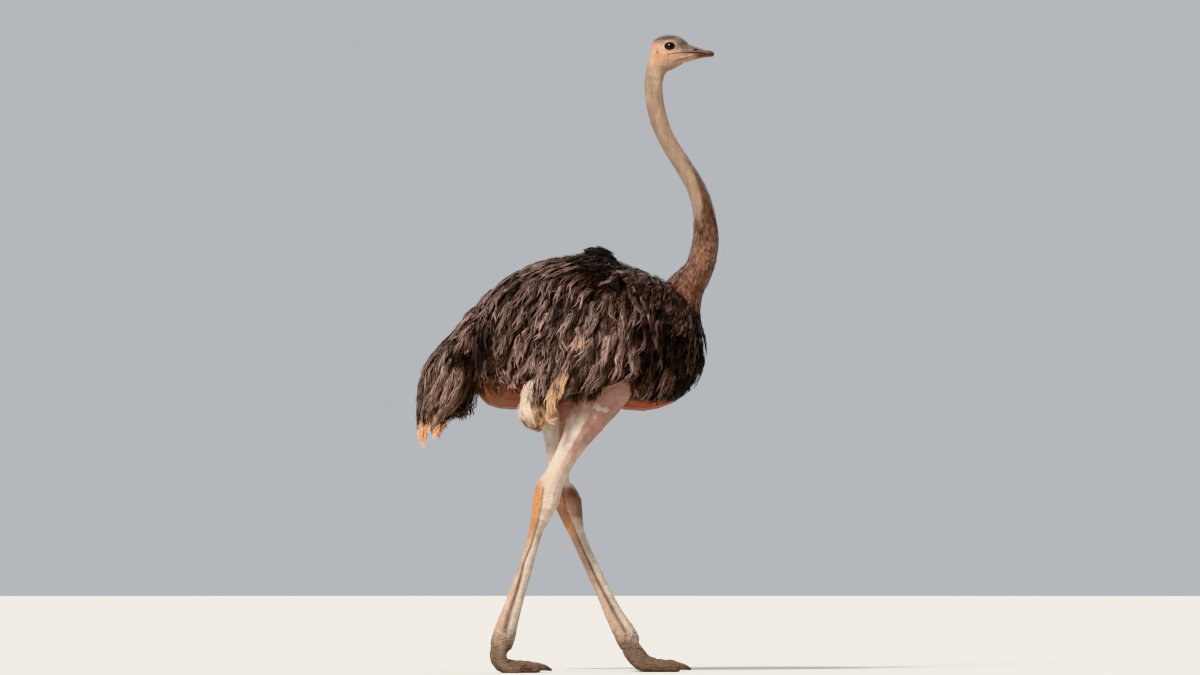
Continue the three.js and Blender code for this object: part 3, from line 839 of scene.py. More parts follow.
def sunk_skin():
    """The skin before its folds: sunk under the coat and the horn, and coarse where nothing shows it."""
    mesh = remeshed(node_copy(FLESH + SHAPED_BY_SKIN, shrink_plumed), SKIN_VOXEL)
    smooth_shape(mesh, 10)
    edges = mesh_edges(mesh)
    points = mesh_points(mesh)
    x, y, z = points.T
    weights = nearest_areas(points)
    depth = weights @ np.array([deep for _, deep in SKIN_AREAS])
    crown = smoothstep(2.098, 2.115, z) * smoothstep(0.385, 0.365, x)
    depth += weights[:, 0] * (0.0025 * crown + 0.002 * smoothstep(2.06, 2.02, z))
    body = weights[:, 4] > 0.5
    depth[body] *= 0.12 + 0.88 * smoothstep(0.9, 1.03, z[body])
    depth = spread(depth, edges, 90)
    depth += 0.003 * smoothstep(0.398, 0.41, x) * (z > NECK_TOP)
    normals = unit(spread(vertex_normals(mesh), edges, 12))
    points = points - normals * depth[:, None]
    downy = (weights[:, 1:4].sum(axis=1) > 0.5) & (points[:, 2] < 1.95)
    joints = smoothstep(0.2, 0.15, points[:, 2]) * smoothstep(0.03, 0.07, points[:, 2])
    set_points(mesh, blend(points, spread(points, edges, 40), joints[:, None]))
    holder = make_object("skin", mesh, skin_material())
    hidden = np.flatnonzero(body & (points[:, 2] > 0.99) | downy)
    holder.vertex_groups.new(name="coarse").add(hidden.tolist(), 1.0, "REPLACE")
    modifier = holder.modifiers.new("coarser", "DECIMATE")
    modifier.ratio = 1.0 - 0.92 * len(hidden) / len(points)
    modifier.vertex_group = "coarse"
    mesh = apply_modifiers(holder)
    holder.vertex_groups.clear()
    return holder, mesh


def add_lids(mesh, values):
    """Joins the lids to the skin. values are the skin's tone, scaly and creased attributes."""
    places = mesh_points(mesh).tolist()
    tree = BVHTree.FromPolygons(places, [polygon.vertices[:] for polygon in mesh.polygons])
    joiner = bmesh.new()
    joiner.from_mesh(mesh)
    for side in SIDES.values():
        ring, faces, tone = lid_ring(tree, side)
        corners = [joiner.verts.new(place) for place in ring]
        for face in faces:
            joiner.faces.new([corners[corner] for corner in face])
        more = tone, np.full(len(ring), 0.15), np.full(len(ring), 0.6)
        values = [np.concatenate(pair) for pair in zip(values, more)]
    joiner.to_mesh(mesh)
    joiner.free()
    return values


def make_skin():
    """The one skin: sunk, refined where it shows, shaped, painted and joined to the lids."""
    holder, mesh = sunk_skin()
    mesh = refine(mesh, shaped_finely, shaped_finest)
    points = mesh_points(mesh)
    weights = spread(nearest_areas(points), mesh_edges(mesh), 8)
    head, body, thigh, tarsus, foot = weights[:, [0, 4, 5, 6, 7]].T
    normals = vertex_normals(mesh)
    points = shape_head(points, normals)
    points, groove = shape_legs(points, normals, tarsus, foot)
    creases = layered_noise(points, 0.016, 77) * 0.0011 * (thigh + 0.4 * body)
    points += normals * creases[:, None]
    points[:, 2] = np.maximum(points[:, 2], 0.0)
    set_points(mesh, points)
    tone = paint_skin(points, vertex_normals(mesh), weights, groove)
    creased = clamp(0.25 + thigh + 0.6 * body + 0.8 * head)
    tone, scaly, creased = add_lids(mesh, [tone, clamp(tarsus * 0.7 + foot), creased])
    holder.data = mesh
    add_tone(mesh, "tone", tone)
    add_value(mesh, "scaly", scaly)
    add_value(mesh, "creased", creased)
    mesh.polygons.foreach_set("use_smooth", np.ones(len(mesh.polygons), bool))
    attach(holder, "root")
    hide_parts(*FLESH)


# ---------------------------------------------------------------- eyes, bill and claws


def make_eye(name, side):
    """A round eye whose ring value is 0 at the pupil's middle and 1 at the iris's edge."""
    maker = bmesh.new()
    bmesh.ops.create_uvsphere(maker, u_segments=64, v_segments=40, radius=EYE_RADIUS)
    mesh = finished(maker, f"eye_{name}")
    points = mesh_points(mesh)[:, [0, 2, 1]]
    ahead = unit(np.array([0.1, side, -0.02]))
    angle = np.arccos(np.clip(unit(points) @ ahead, -1.0, 1.0))
    add_value(mesh, "ring", angle / IRIS_ANGLE)
    swell = 1.0 + 0.05 * bell(angle, 0.5)
    set_points(mesh, points * swell[:, None] + mirrored(EYE, side))
    made = make_object(f"wet_eye_{name}", mesh, eye_material())
    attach(made, "root")
    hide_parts(f"eye_{name}")


IRIS_ANGLE = 0.78  # radians from the pupil's middle to the iris's edge
BILL_ROOT = 0.3955
BILL_TIP = 0.4865
BILL_GAP = [
    (0.3875, 2.0665), (0.4095, 2.069), (0.4315, 2.0685), (0.4535, 2.066), (0.4755, 2.061), (0.4975, 2.058),
]


def bill_relief(points, normals, part, share, nostril, mouth):
    """How far the horn stands out at each point: nostrils, troughs, keel, nail and folds."""
    y = points[:, 1]
    sides = np.abs(normals[:, 1])
    change = -0.0004 - 0.0012 * (1.0 - smoothstep(0.0, 0.2, share)) - 0.0011 * mouth * sides
    if part == "upper":
        nail = smoothstep(0.78, 0.84, share)
        trough = bell(np.abs(y) - 0.011, 0.004) * clamp(normals[:, 2])
        change += 0.0009 * near_spot(points, (0.4265, 2.0795), (0.01, 0.0016)) * sides
        change += 0.001 * nail - 0.0024 * nostril
        change -= 0.0013 * trough * smoothstep(0.05, 0.2, share) * (1.0 - nail)
    else:
        change -= 0.0016 * bell(y, 0.006) * clamp(-normals[:, 2]) * (1.0 - smoothstep(0.55, 0.8, share))
        change -= 0.001 * near_lines(points, [JAW_FOLD], 0.0017) * sides
        change += 0.0006 * near_lines(points, [JAW_STRIPE], 0.0024) * sides
    return change + 0.00024 * layered_noise(points * (0.3, 1.0, 1.0), 0.004, 9)


def make_bill(part, material):
    """One half of the bill, pushed back a little under the skin of the face."""
    up = 1.0 if part == "upper" else -1.0
    mesh = remeshed(node_copy([f"bill_{part}"]), 0.0009)
    smooth_shape(mesh, 6)
    points = mesh_points(mesh)
    normals = vertex_normals(mesh)
    share = clamp((points[:, 0] - BILL_ROOT) / (BILL_TIP - BILL_ROOT))
    gap = points[:, 2] - curve(points[:, 0], BILL_GAP)
    mouth = bell(gap, 0.0015) * smoothstep(0.97, 0.9, share)
    nostril = near_spot(points, (0.4265, 2.0755), (0.0062, 0.0019)) * np.abs(normals[:, 1]) * (up > 0)
    change = bill_relief(points, normals, part, share, nostril, mouth)

    paint = Paint(f"bill_{part}", len(points))
    paint.lay("culmen", 0.6 * clamp(normals[:, 2]) * (up > 0))
    paint.lay("nail", 0.9 * smoothstep(0.72, 0.84, share))
    paint.lay("edge", 0.9 * smoothstep(0.95, 1.0, share))
    fleshy = face_colour(points, layered_noise(points, 0.018, 33))
    below = 0.8 * smoothstep(-0.002, -0.006, gap)
    fleshy = 0.85 * blend(fleshy, np.array(TONES["face"]), below[:, None])
    paint.colour = blend(fleshy, paint.colour, smoothstep(0.398, 0.437, muzzle(points))[:, None])
    # Painted shade inside the mouth along the gape and in the nostril.
    inner = clamp(-up * normals[:, 2] - 0.2) * smoothstep(0.0, 0.004, 0.006 - np.abs(gap))
    paint.lay("mouth", np.maximum(inner, 0.9 * mouth))
    paint.lay("mouth", np.minimum(1.2 * nostril, 0.9))

    points += normals * change[:, None]
    points[:, 0] -= 0.008 * (1.0 - smoothstep(0.0, 0.12, share))
    points[:, 2] -= 0.0034 * bell(gap, 0.0062) * smoothstep(0.98, 0.8, share)
    set_points(mesh, points)
    add_tone(mesh, "tone", paint.colour)
    made = make_object(f"horn_bill_{part}", mesh, material)
    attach(made, "root")
    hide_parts(f"bill_{part}")


def make_claw(name, material):
    """A toe's claw, ridged at its root and darker at its tip."""
    mesh = remeshed(node_copy([f"claw_{name}"]), 0.0011)
    smooth_shape(mesh, 14)
    points = mesh_points(mesh)
    low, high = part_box(f"claw_{name}")
    share = (points[:, 0] - low.x) / (high.x - low.x)
    ridges = np.sin(points[:, 1] * 2 * math.pi / 0.0045) * (1.0 - share)
    relief = 0.00025 * ridges + 0.0003 * layered_noise(points, 0.005, 12)
    points += vertex_normals(mesh) * relief[:, None]
    points[:, 2] = np.maximum(points[:, 2], 0.0004)
    set_points(mesh, points)
    paint = Paint("claw", len(points))
    paint.lay("claw_tip", smoothstep(0.2, 0.9, share))
    add_tone(mesh, "tone", paint.colour)
    made = make_object(f"horn_claw_{name}", mesh, material)
    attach(made, "root")
    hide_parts(f"claw_{name}")


# ---------------------------------------------------------------- the coat


TRIES = 6.0  # random points for each square of the spacing between roots


class Surface:
    """A surface that plumes are rooted on and laid along."""

    def __init__(self, mesh):
        self.points = mesh_points(mesh)
        mesh.calc_loop_triangles()
        corners = np.empty(len(mesh.loop_triangles) * 3, np.int32)
        mesh.loop_triangles.foreach_get("vertices", corners)
        self.corners = corners.reshape(-1, 3)
        self.normals = vertex_normals(mesh)
        self.tree = BVHTree.FromPolygons(self.points.tolist(), self.corners.tolist())

    def nearest(self, places):
        """The nearest points on the surface and its smooth normals there."""
        found = np.empty_like(places)
        face = np.empty(len(places), int)
        for row, place in enumerate(places.tolist()):
            spot, _, face[row], _ = self.tree.find_nearest(place)
            found[row] = spot
        corners = self.corners[face]
        gaps = np.linalg.norm(self.points[corners] - found[:, None, :], axis=2)
        share = 1.0 / (gaps + 1e-5)
        return found, unit(np.einsum("ij,ijk->ik", share, self.normals[corners]))

    def scatter(self, spacing, rng, wanted):
        """Random points at least `spacing` apart, kept with the chance wanted(points, normals) gives."""
        a, b, c = (self.points[self.corners[:, k]] for k in range(3))
        area = np.linalg.norm(np.cross(b - a, c - a), axis=1) / 2.0
        area *= wanted((a + b + c) / 3.0, unit(np.cross(b - a, c - a))) > 0.0
        count = int(TRIES * area.sum() / spacing**2)
        face = rng.choice(len(area), count, p=area / area.sum())
        first, second = np.sqrt(rng.random(count)), rng.random(count)
        share = np.stack([1.0 - first, first * (1.0 - second), first * second], axis=1)
        corners = self.corners[face]
        places = np.einsum("ij,ijk->ik", share, self.points[corners])
        normals = unit(np.einsum("ij,ijk->ik", share, self.normals[corners]))
        keep = thin_out(places, spacing, rng.random(count) < wanted(places, normals))
        return places[keep], normals[keep]


def thin_out(places, spacing, allowed):
    """Indices of points that keep `spacing` between them, taken in order."""
    taken = {}
    kept = []
    cells = np.floor(places / spacing).astype(int).tolist()
    around = [(i, j, k) for i in (-1, 0, 1) for j in (-1, 0, 1) for k in (-1, 0, 1)]
    reach = spacing * spacing
    spots = places.tolist()
    for row in np.flatnonzero(allowed).tolist():
        ci, cj, ck = cells[row]
        x, y, z = spots[row]
        clear = True
        for i, j, k in around:
            for other in taken.get((ci + i, cj + j, ck + k), ()):
                if (other[0] - x) ** 2 + (other[1] - y) ** 2 + (other[2] - z) ** 2 < reach:
                    clear = False
                    break
            if not clear:
                break
        if clear:
            taken.setdefault((ci, cj, ck), []).append((x, y, z))
            kept.append(row)
    return np.array(kept, int)


class Kind:
    """What one sort of plume is like. Lengths are in metres."""

    length = 0.14  # of the whole plume
    width = 0.03
    barbs = 32
    cuts = 4  # pieces along each barb
    ribbon = 0.0021  # width of a barb
    reach = 0.45  # share of the plume's length that one barb runs along it
    steps = 12  # along the shaft
    sink = 0.03  # of the root below the surface
    proud = 0.0  # of the rest above it
    lift = 0.006  # how much that varies from plume to plume
    raised = 0.006  # of the tip
    ridge = 0.007  # height of a plume's middle over its edges
    wave = 0.005
    wavelength = 0.08
    curl = 0.012  # sideways at the tip
    clumps = 3  # that the barbs draw together into
    clumping = 0.75
    fray = 0.003
    turn = 0.16  # radians that the lie of one plume differs from its neighbours'
    shade = 0.45  # from dark to light
    mixed = 0.16  # how much that varies

    def __init__(self, **changes):
        for key, value in changes.items():
            setattr(self, key, value)

    def like(self, **changes):
        """A kind that is the same but for the changes."""
        return Kind(**{**vars(self), **changes})


def lay_shafts(surface, roots, normals, lie, lengths, kind, rng):
    """Marches each shaft over the surface the way the coat lies."""
    count, steps = len(roots), kind.steps
    centre = np.empty((count, steps + 1, 3))
    facing = np.empty((count, steps + 1, 3))
    centre[:, 0], facing[:, 0] = roots, normals
    stride = (lengths / steps)[:, None]
    turn = rng.normal(0.0, kind.turn, count)[:, None]
    ahead = None
    for step in range(1, steps + 1):
        place, normal = centre[:, step - 1], facing[:, step - 1]
        wish = lie(place, normal)
        wish = tangent(wish + np.cross(normal, wish) * turn, normal)
        ahead = wish if ahead is None else tangent(blend(ahead, wish, 0.5), normal)
        centre[:, step], facing[:, step] = surface.nearest(place + ahead * stride)
    return centre, facing


def sample(track, position):
    """Reads a track of shape (count, steps + 1, 3) at fractional steps."""
    position = np.clip(position, 0.0, track.shape[1] - 1.001)
    base = position.astype(int)
    part = (position - base)[..., None]
    rows = np.arange(track.shape[0]).reshape((-1,) + (1,) * (position.ndim - 1))
    return track[rows, base] * (1.0 - part) + track[rows, base + 1] * part


COAT_VOXEL = 0.009
OVERRUN = 1.25  # the shaft's track is this much longer than the plume, for the barbs at its tip


def grow_barbs(centre, facing, kind, lengths, sizes, rng, tint):
    """Ribbons for every barb of every plume, along the tracks of their shafts."""
    count, barbs = len(centre), kind.barbs
    t = np.linspace(0.0, 1.0, kind.cuts + 1)[None, None, :]

    def each(low, high):
        return rng.uniform(low, high, (count, barbs, 1))

    side = np.where(np.arange(barbs) % 2 == 0, 1.0, -1.0)[None, :, None]
    start = np.linspace(0.0, 0.84, barbs)[None, :, None] + each(-0.05, 0.05)
    start = np.clip(start, 0.0, 0.95)
    along = start + kind.reach * each(0.75, 1.2) * (1.0 - 0.4 * start) * t
    outline = 0.45 + 0.55 * np.sin(np.pi * clamp(0.1 + 0.85 * along))
    aside = side * each(0.1, 1.0)
    homes = np.linspace(-0.8, 0.8, kind.clumps)[None, :] + rng.normal(0.0, 0.14, (count, kind.clumps))
    nearest = np.argmin(np.abs(aside - homes[:, None, :]), axis=2)
    home = np.take_along_axis(homes, nearest, axis=1)[..., None]
    across_share = blend(aside * (1.0 - (1.0 - t) ** 2.2), home, kind.clumping * t**1.3) * outline
    half = (kind.width * sizes / 2.0)[:, None, None]
    run = along * lengths[:, None, None]
    phase = rng.uniform(0.0, 2.0 * math.pi, (count, 1, 1))
    lateral = across_share * half
    swing = np.sin(run * 2.0 * math.pi / kind.wavelength + phase)
    lateral = lateral + kind.wave * sizes[:, None, None] * swing * smoothstep(0.1, 0.6, along)
    hook = np.clip(rng.normal(0.0, 0.9, (count, 1, 1)) + 0.5 * home, -1.5, 1.5)
    lateral = lateral + kind.curl * hook * smoothstep(0.55, 1.15, along) ** 2
    own = each(0.0, 2.0 * math.pi)
    lateral = lateral + kind.fray * 0.5 * np.sin(run * 2.0 * math.pi / (0.6 * kind.wavelength) + own) * t
    height = -kind.ridge * across_share**2 + kind.fray * rng.normal(0.0, 0.6, (count, barbs, 1)) * t
    height = height - 0.5 * kind.ridge * t * each(0.0, 1.0)

    position = along / OVERRUN * kind.steps
    ahead = unit(np.gradient(centre, axis=1))
    outward = sample(facing, position)
    beside = sample(unit(np.cross(facing, ahead)), position)
    points = sample(centre, position) + beside * lateral[..., None] + outward * height[..., None]
    flat = unit(np.cross(outward, np.gradient(points, axis=2)))
    lean = (-0.9 * across_share + rng.normal(0.0, 0.28, (count, barbs, 1)))[..., None]
    turned = np.sign(np.einsum("...i,...i->...", flat, beside))[..., None]
    edge = flat * np.cos(lean) + outward * np.sin(lean) * turned
    thin = kind.ribbon * each(0.7, 1.3) * (0.25 + 0.75 * smoothstep(0.0, 0.2, t)) * (1.0 - 0.8 * t**3) / 2.0
    shade = kind.shade + rng.normal(0.0, kind.mixed, (count, 1, 1))
    shade = shade + rng.normal(0.0, 0.1, (count, barbs, 1))
    # Painted shade: each plume darker towards its root and its edges, where it lies under its neighbours.
    shade = shade + 0.22 * (along - 0.6) - 0.18 * across_share**2
    change, pale = tint(points.reshape(-1, 3), along.ravel())
    change, pale = (np.broadcast_to(part, along.size).reshape(along.shape) for part in (change, pale))
    return {
        "first": points + edge * thin[..., None],
        "second": points - edge * thin[..., None],
        "along": clamp(along),
        "shade": clamp(shade + change),
        "pale": clamp(pale),
        "root": centre[:, 0],
    }


def no_tint(points, along):
    """A tint gives how much lighter a plume's points are, and how pale. This one leaves them alone."""
    return 0.0, 0.0


def cut_at_hem(hem, roots, centre, facing, lengths, sizes, kind, rng):
    """Shortens the plumes that would hang below the hem, and leaves out those with no room."""
    ragged = 0.012 * noise3(roots * (1.0, 0.3, 0.0), 0.045, 71) + rng.normal(0.0, 0.012, len(roots))
    ragged *= blend(1.0, 0.4, smoothstep(0.22, 0.29, roots[:, 0]))
    limit = curve(centre[..., 0], hem) + ragged[:, None]
    above = np.logical_and.accumulate(centre[..., 2] > limit, axis=1).sum(axis=1) - 1
    room = above / kind.steps * OVERRUN
    kept = np.flatnonzero(room > 0.2)
    share = clamp(room[kept])
    position = np.linspace(0.0, 1.0, kind.steps + 1)[None, :] * share[:, None] * kind.steps
    centre, facing = sample(centre[kept], position), unit(sample(facing[kept], position))
    return centre, facing, lengths[kept] * share, sizes[kept] * np.sqrt(share)


def grow_plumes(surface, spacing, wanted, kind, lie, rng, hem=None, tint=no_tint, size=None):
    """Plumes of one kind, rooted on the surface where wanted and laid over it the way they lie."""
    roots, normals = surface.scatter(spacing, rng, wanted)
    sizes = (1.0 if size is None else size(roots)) * rng.uniform(0.8, 1.2, len(roots))
    lengths = kind.length * sizes * rng.uniform(0.85, 1.15, len(roots))
    centre, facing = lay_shafts(surface, roots, normals, lie, lengths * OVERRUN, kind, rng)
    if hem is not None:
        centre, facing, lengths, sizes = cut_at_hem(hem, roots, centre, facing, lengths, sizes, kind, rng)
    share = np.linspace(0.0, OVERRUN, kind.steps + 1)[None, :]
    breast = smoothstep(0.3, 0.4, centre[:, :1, 0]) * (centre[:, :1, 2] < 1.3)
    rise = kind.proud + kind.lift * np.clip(rng.normal(0.0, 1.0, (len(centre), 1)), -1.5, 1.5)
    raised = kind.raised * (1.0 - breast) * smoothstep(0.5, 1.1, share)
    rise = blend(-kind.sink, rise - 0.003 * breast, smoothstep(0.0, 0.4, share)) + raised
    return grow_barbs(centre + facing * rise[..., None], facing, kind, lengths, sizes, rng, tint)


def grow_bundle(guide, side, spread_at, kind, count, rng, tint):
    """Loose plumes that hang free along a guide line, given as points for the bird's left."""
    guide = mirrored(guide, side)
    share = np.linspace(0.0, OVERRUN, kind.steps + 1)
    wide = np.interp(share, np.linspace(0.0, 1.0, len(spread_at)), spread_at)
    line = np.stack([np.interp(share, np.linspace(0, 1, len(guide)), guide[:, k]) for k in range(3)], axis=1)
    line += clamp(share - 1.0)[:, None] * (guide[-1] - guide[-2]) * (len(guide) - 1)
    length = np.linalg.norm(np.diff(guide, axis=0), axis=1).sum()
    start = rng.uniform(0.0, 0.4, count)
    stretch = rng.uniform(0.75, 1.0, count) - start
    place = start[:, None] + stretch[:, None] * share[None, :]
    rows = np.clip(place / OVERRUN * kind.steps, 0, kind.steps - 1e-3)
    base, part = rows.astype(int), (rows % 1.0)[..., None]
    offset = rng.normal(0.0, 0.55, (count, 1, 3)) * (1.0, 0.6, 0.25)
    centre = line[base] * (1.0 - part) + line[base + 1] * part + offset * wide[base][..., None]
    facing = mirrored((0.0, 1.0, 0.15), side) + rng.normal(0.0, 0.3, (count, 1, 3))
    facing = unit(facing) * np.ones((count, kind.steps + 1, 1))
    return grow_barbs(centre, facing, kind, length * stretch, rng.uniform(0.8, 1.2, count), rng, tint)


def ribbons_mesh(name, batches, unwrap):
    """Joins batches of ribbons into one mesh. Each plume is a small patch at its root's place."""
    points, quads, tips, uvs = [], [], [], []
    values = {"shade": [], "pale": []}
    start = 0
    for batch in batches:
        count, barbs, rows = batch["first"].shape[:3]
        cuts = rows - 1
        each = 2 * cuts + 1

        def woven(first, second, last):
            block = np.empty((count, barbs, each) + first.shape[3:])
            block[:, :, 0:2 * cuts:2] = first[:, :, :cuts]
            block[:, :, 1:2 * cuts:2] = second[:, :, :cuts]
            block[:, :, -1] = last[:, :, -1]
            return block

        first, second = batch["first"], batch["second"]
        points.append(woven(first, second, (first + second) / 2.0).reshape(-1, 3))
        base = start + np.arange(count * barbs)[:, None] * each
        quads.extend(base + np.array([0, 1, 3, 2]) + 2 * cut for cut in range(cuts - 1))
        tips.append(base + np.array([2 * cuts - 2, 2 * cuts - 1, 2 * cuts]))
        for key, value in values.items():
            value.append(woven(batch[key], batch[key], batch[key]).ravel())
        lane = np.broadcast_to((np.arange(barbs)[None, :, None] + 0.2) / barbs, batch["along"].shape)
        across = woven(lane, lane + 0.6 / barbs, lane + 0.3 / barbs)
        along = woven(*[batch["along"]] * 3)
        corner = unwrap(batch["root"])[:, None, None, :]
        uvs.append((corner + PATCH * np.stack([across, along], axis=3)).reshape(-1, 2))
        start += count * barbs * each
    quads, tips = np.concatenate(quads), np.concatenate(tips)
    loops = np.concatenate([quads.ravel(), tips.ravel()]).astype(np.int32)
    starts = np.concatenate([np.arange(len(quads)) * 4, len(quads) * 4 + np.arange(len(tips)) * 3])
    mesh = bpy.data.meshes.new(name)
    points = np.concatenate(points)
    mesh.vertices.add(len(points))
    mesh.vertices.foreach_set("co", points.astype(np.float32).ravel())
    mesh.loops.add(len(loops))
    mesh.loops.foreach_set("vertex_index", loops)
    mesh.polygons.add(len(starts))
    mesh.polygons.foreach_set("loop_start", starts.astype(np.int32))
    mesh.update(calc_edges=True)
    layer = mesh.uv_layers.new(name="OFBake")
    layer.data.foreach_set("uv", np.concatenate(uvs)[loops].astype(np.float32).ravel())
    for key, value in values.items():
        add_value(mesh, key, np.concatenate(value))
    return mesh


def rolled_flat(along, beside, above):
    """Corners of the tufts' patches in the UV map: u runs along, v round from one seam to the other."""
    around = np.arctan2(beside, above) / (2.0 * math.pi) + 0.5
    return np.clip(np.stack([along, around], axis=1), 0.0, 1.0 - PATCH)


def unwrap_body(roots):
    """Rolls the body out flat: u from tail to breast, v round it."""
    return rolled_flat((roots[:, 0] + 0.53) / 1.06, roots[:, 1], roots[:, 2] - BODY_AXIS)


def unwrap_neck(roots):
    """Rolls the neck and head out flat: u up its height, v round its middle line."""
    return rolled_flat(roots[:, 2] - 1.15, roots[:, 1], roots[:, 0] - curve(roots[:, 2], NECK_LINE))


def coat_piece(name, batches, material, unwrap):
    """One piece of the coat, made of batches of plumes."""
    made = make_object(name, ribbons_mesh(name, batches, unwrap), material)
    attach(made, "root")


def tangent(direction, normals):
    return unit(direction - normals * np.einsum("ij,ij->i", direction, normals)[:, None])


def heading(normals, ahead, outward, up):
    """The direction along the surface that is nearest to the wish, given along X, Y and Z."""
    return tangent(np.stack(np.broadcast_arrays(ahead, outward, up), axis=1), normals)


# Where the neck's middle lies at a height, and how low the plumes reach along the body.
NECK_LINE = [
    (1.18, 0.36), (1.27, 0.39), (1.34, 0.435), (1.45, 0.459), (1.51, 0.456), (1.56, 0.446), (1.62, 0.425),
    (1.69, 0.382), (1.77, 0.332), (1.85, 0.3), (1.97, 0.287), (2.05, 0.3), (2.12, 0.33),
]
HEM = [
    (-0.33, 1.05), (-0.3, 0.99), (-0.254, 0.976), (-0.217, 0.952), (-0.18, 0.942), (-0.15, 0.96),
    (-0.122, 0.985), (-0.112, 0.915), (-0.09, 0.89), (-0.02, 0.895), (0.08, 0.9), (0.127, 0.93),
    (0.17, 0.952), (0.205, 0.965), (0.215, 0.94), (0.225, 0.915), (0.25, 0.903), (0.29, 0.893),
    (0.35, 0.898), (0.38, 0.908), (0.417, 0.936), (0.455, 1.02),
]
TAIL_HEM = [
    (-0.5, 0.825), (-0.455, 0.832), (-0.427, 0.835), (-0.394, 0.845), (-0.36, 0.862), (-0.337, 0.88),
    (-0.3, 0.95), (-0.27, 1.02),
]
BACK_TUFT = (0.14, 1.385)  # X and Z of the dark tuft over the shoulder
TAIL_HOLLOW = (-0.292, 1.035)  # and of the shadowed gap between flank and tail
# Where the wing's tip starts at a height, and where its pale plumes end. The darker ones lie ahead.
WING_REAR = [
    (0.816, -0.112), (0.837, -0.151), (0.879, -0.169), (0.92, -0.162), (0.963, -0.141), (1.0, -0.105),
]
WING_PARTING = [
    (0.82, -0.04), (0.847, -0.075), (0.873, -0.104), (0.9, -0.122), (0.947, -0.125), (1.0, -0.112),
]


def lie_wing_tip(places, normals):
    """Down, bulging back and then curving forward."""
    ahead = blend(0.35, -0.35, smoothstep(0.86, 0.94, places[:, 2]))
    return heading(normals, ahead + 0.25 * layered_noise(places, 0.04, 7), 0.0, -1.0)


def lie_body(places, normals):
    """Back and down: nearly level along the back, steeply down the flanks and round the tail."""
    x, y, z = places.T
    top = smoothstep(1.26, 1.385, z + 0.09 * smoothstep(0.0, -0.3, x))
    tail = smoothstep(-0.26, -0.38, x)
    back = blend(blend(0.19, 1.0, top), 0.1, smoothstep(0.28, 0.42, x) * (1.0 - top))
    ahead = 0.4 * layered_noise(places, 0.13, 3) - blend(back, 0.38, tail)
    outward = 0.5 * top * np.sign(y) * smoothstep(0.0, 0.04, np.abs(y))
    return heading(normals, ahead, outward, -blend(blend(1.0, 0.22, top), 1.0, tail))


def flank_tint(points, along):
    """Lighter, browner locks mid-flank, partly painted sunlight; tuft and breast nearly black, the breast
    partly as painted shade.
    """
    x, y, z = points.T
    # The first term lightens the middle of the flank, partly as painted sunlight on the wing.
    change = 0.1 * near_spot(points, (0.13, 1.13), (0.12, 0.15)) + 0.08 * smoothstep(0.0, -0.12, x)
    change += 0.18 * layered_noise(points, 0.09, 41)
    # Darker breast: black plumage, deepened with painted shade.
    change -= 0.38 * smoothstep(0.2, 0.34, x) * (1.0 - smoothstep(1.2, 1.36, z))
    change -= 0.6 * bell(x - BACK_TUFT[0], 0.06) * bell(y, 0.055) * smoothstep(1.34, 1.375, z)
    # Painted shade in the hollow between flank and tail.
    change -= 0.45 * near_spot(points, TAIL_HOLLOW, (0.034, 0.085)) * smoothstep(-0.34, -0.31, x)
    streaks = smoothstep(0.15, 0.6, layered_noise(points * (1.0, 1.0, 0.4), 0.016, 51))
    blond = 0.8 * near_spot(points, (0.01, 1.02), (0.05, 0.1)) * streaks
    return change, blond * smoothstep(0.3, 0.9, along)


def tail_tint(points, along):
    """Painted shade in the hollow ahead of the tail, with a few pale barbs where the tail hangs lowest."""
    low = smoothstep(0.875, 0.83, points[:, 2]) * smoothstep(-0.39, -0.42, points[:, 0])
    torn = smoothstep(0.15, 0.45, layered_noise(points * (1.0, 1.0, 0.2), 0.012, 61))
    # Painted shade in the hollow between flank and tail.
    hollow = near_spot(points, TAIL_HOLLOW, (0.036, 0.1))
    return 0.14 * layered_noise(points, 0.07, 43) - 0.45 * hollow - 0.02, low * torn


def white_tint(points, along):
    """Cream, and tan where the wing's pale tip ends."""
    x, y, z = points.T
    return -0.55 * smoothstep(0.855, 0.825, z) - 0.3 * smoothstep(-0.135, -0.09, x), 0.0


def wing_dark_tint(points, along):
    """Brown plumes over the front of the wing's tip, blond towards their ends."""
    strands = layered_noise(points * (1.0, 1.0, 0.25), 0.014, 63)
    return 0.0, smoothstep(0.9, 0.865, points[:, 2] + 0.03 * strands) * smoothstep(-0.3, 0.1, strands)


def blond_tint(points, along):
    return 0.0, 0.9 * smoothstep(0.1, 0.7, along)


def plume_size(places):
    """Plumes are longest at the middle of the flank and short towards the neck."""
    middle = near_spot(places, (0.12, 1.12), (0.16, 0.2))
    return 0.85 + 0.35 * middle - 0.35 * near_spot(places, (0.4, 1.3), (0.1, 0.1))


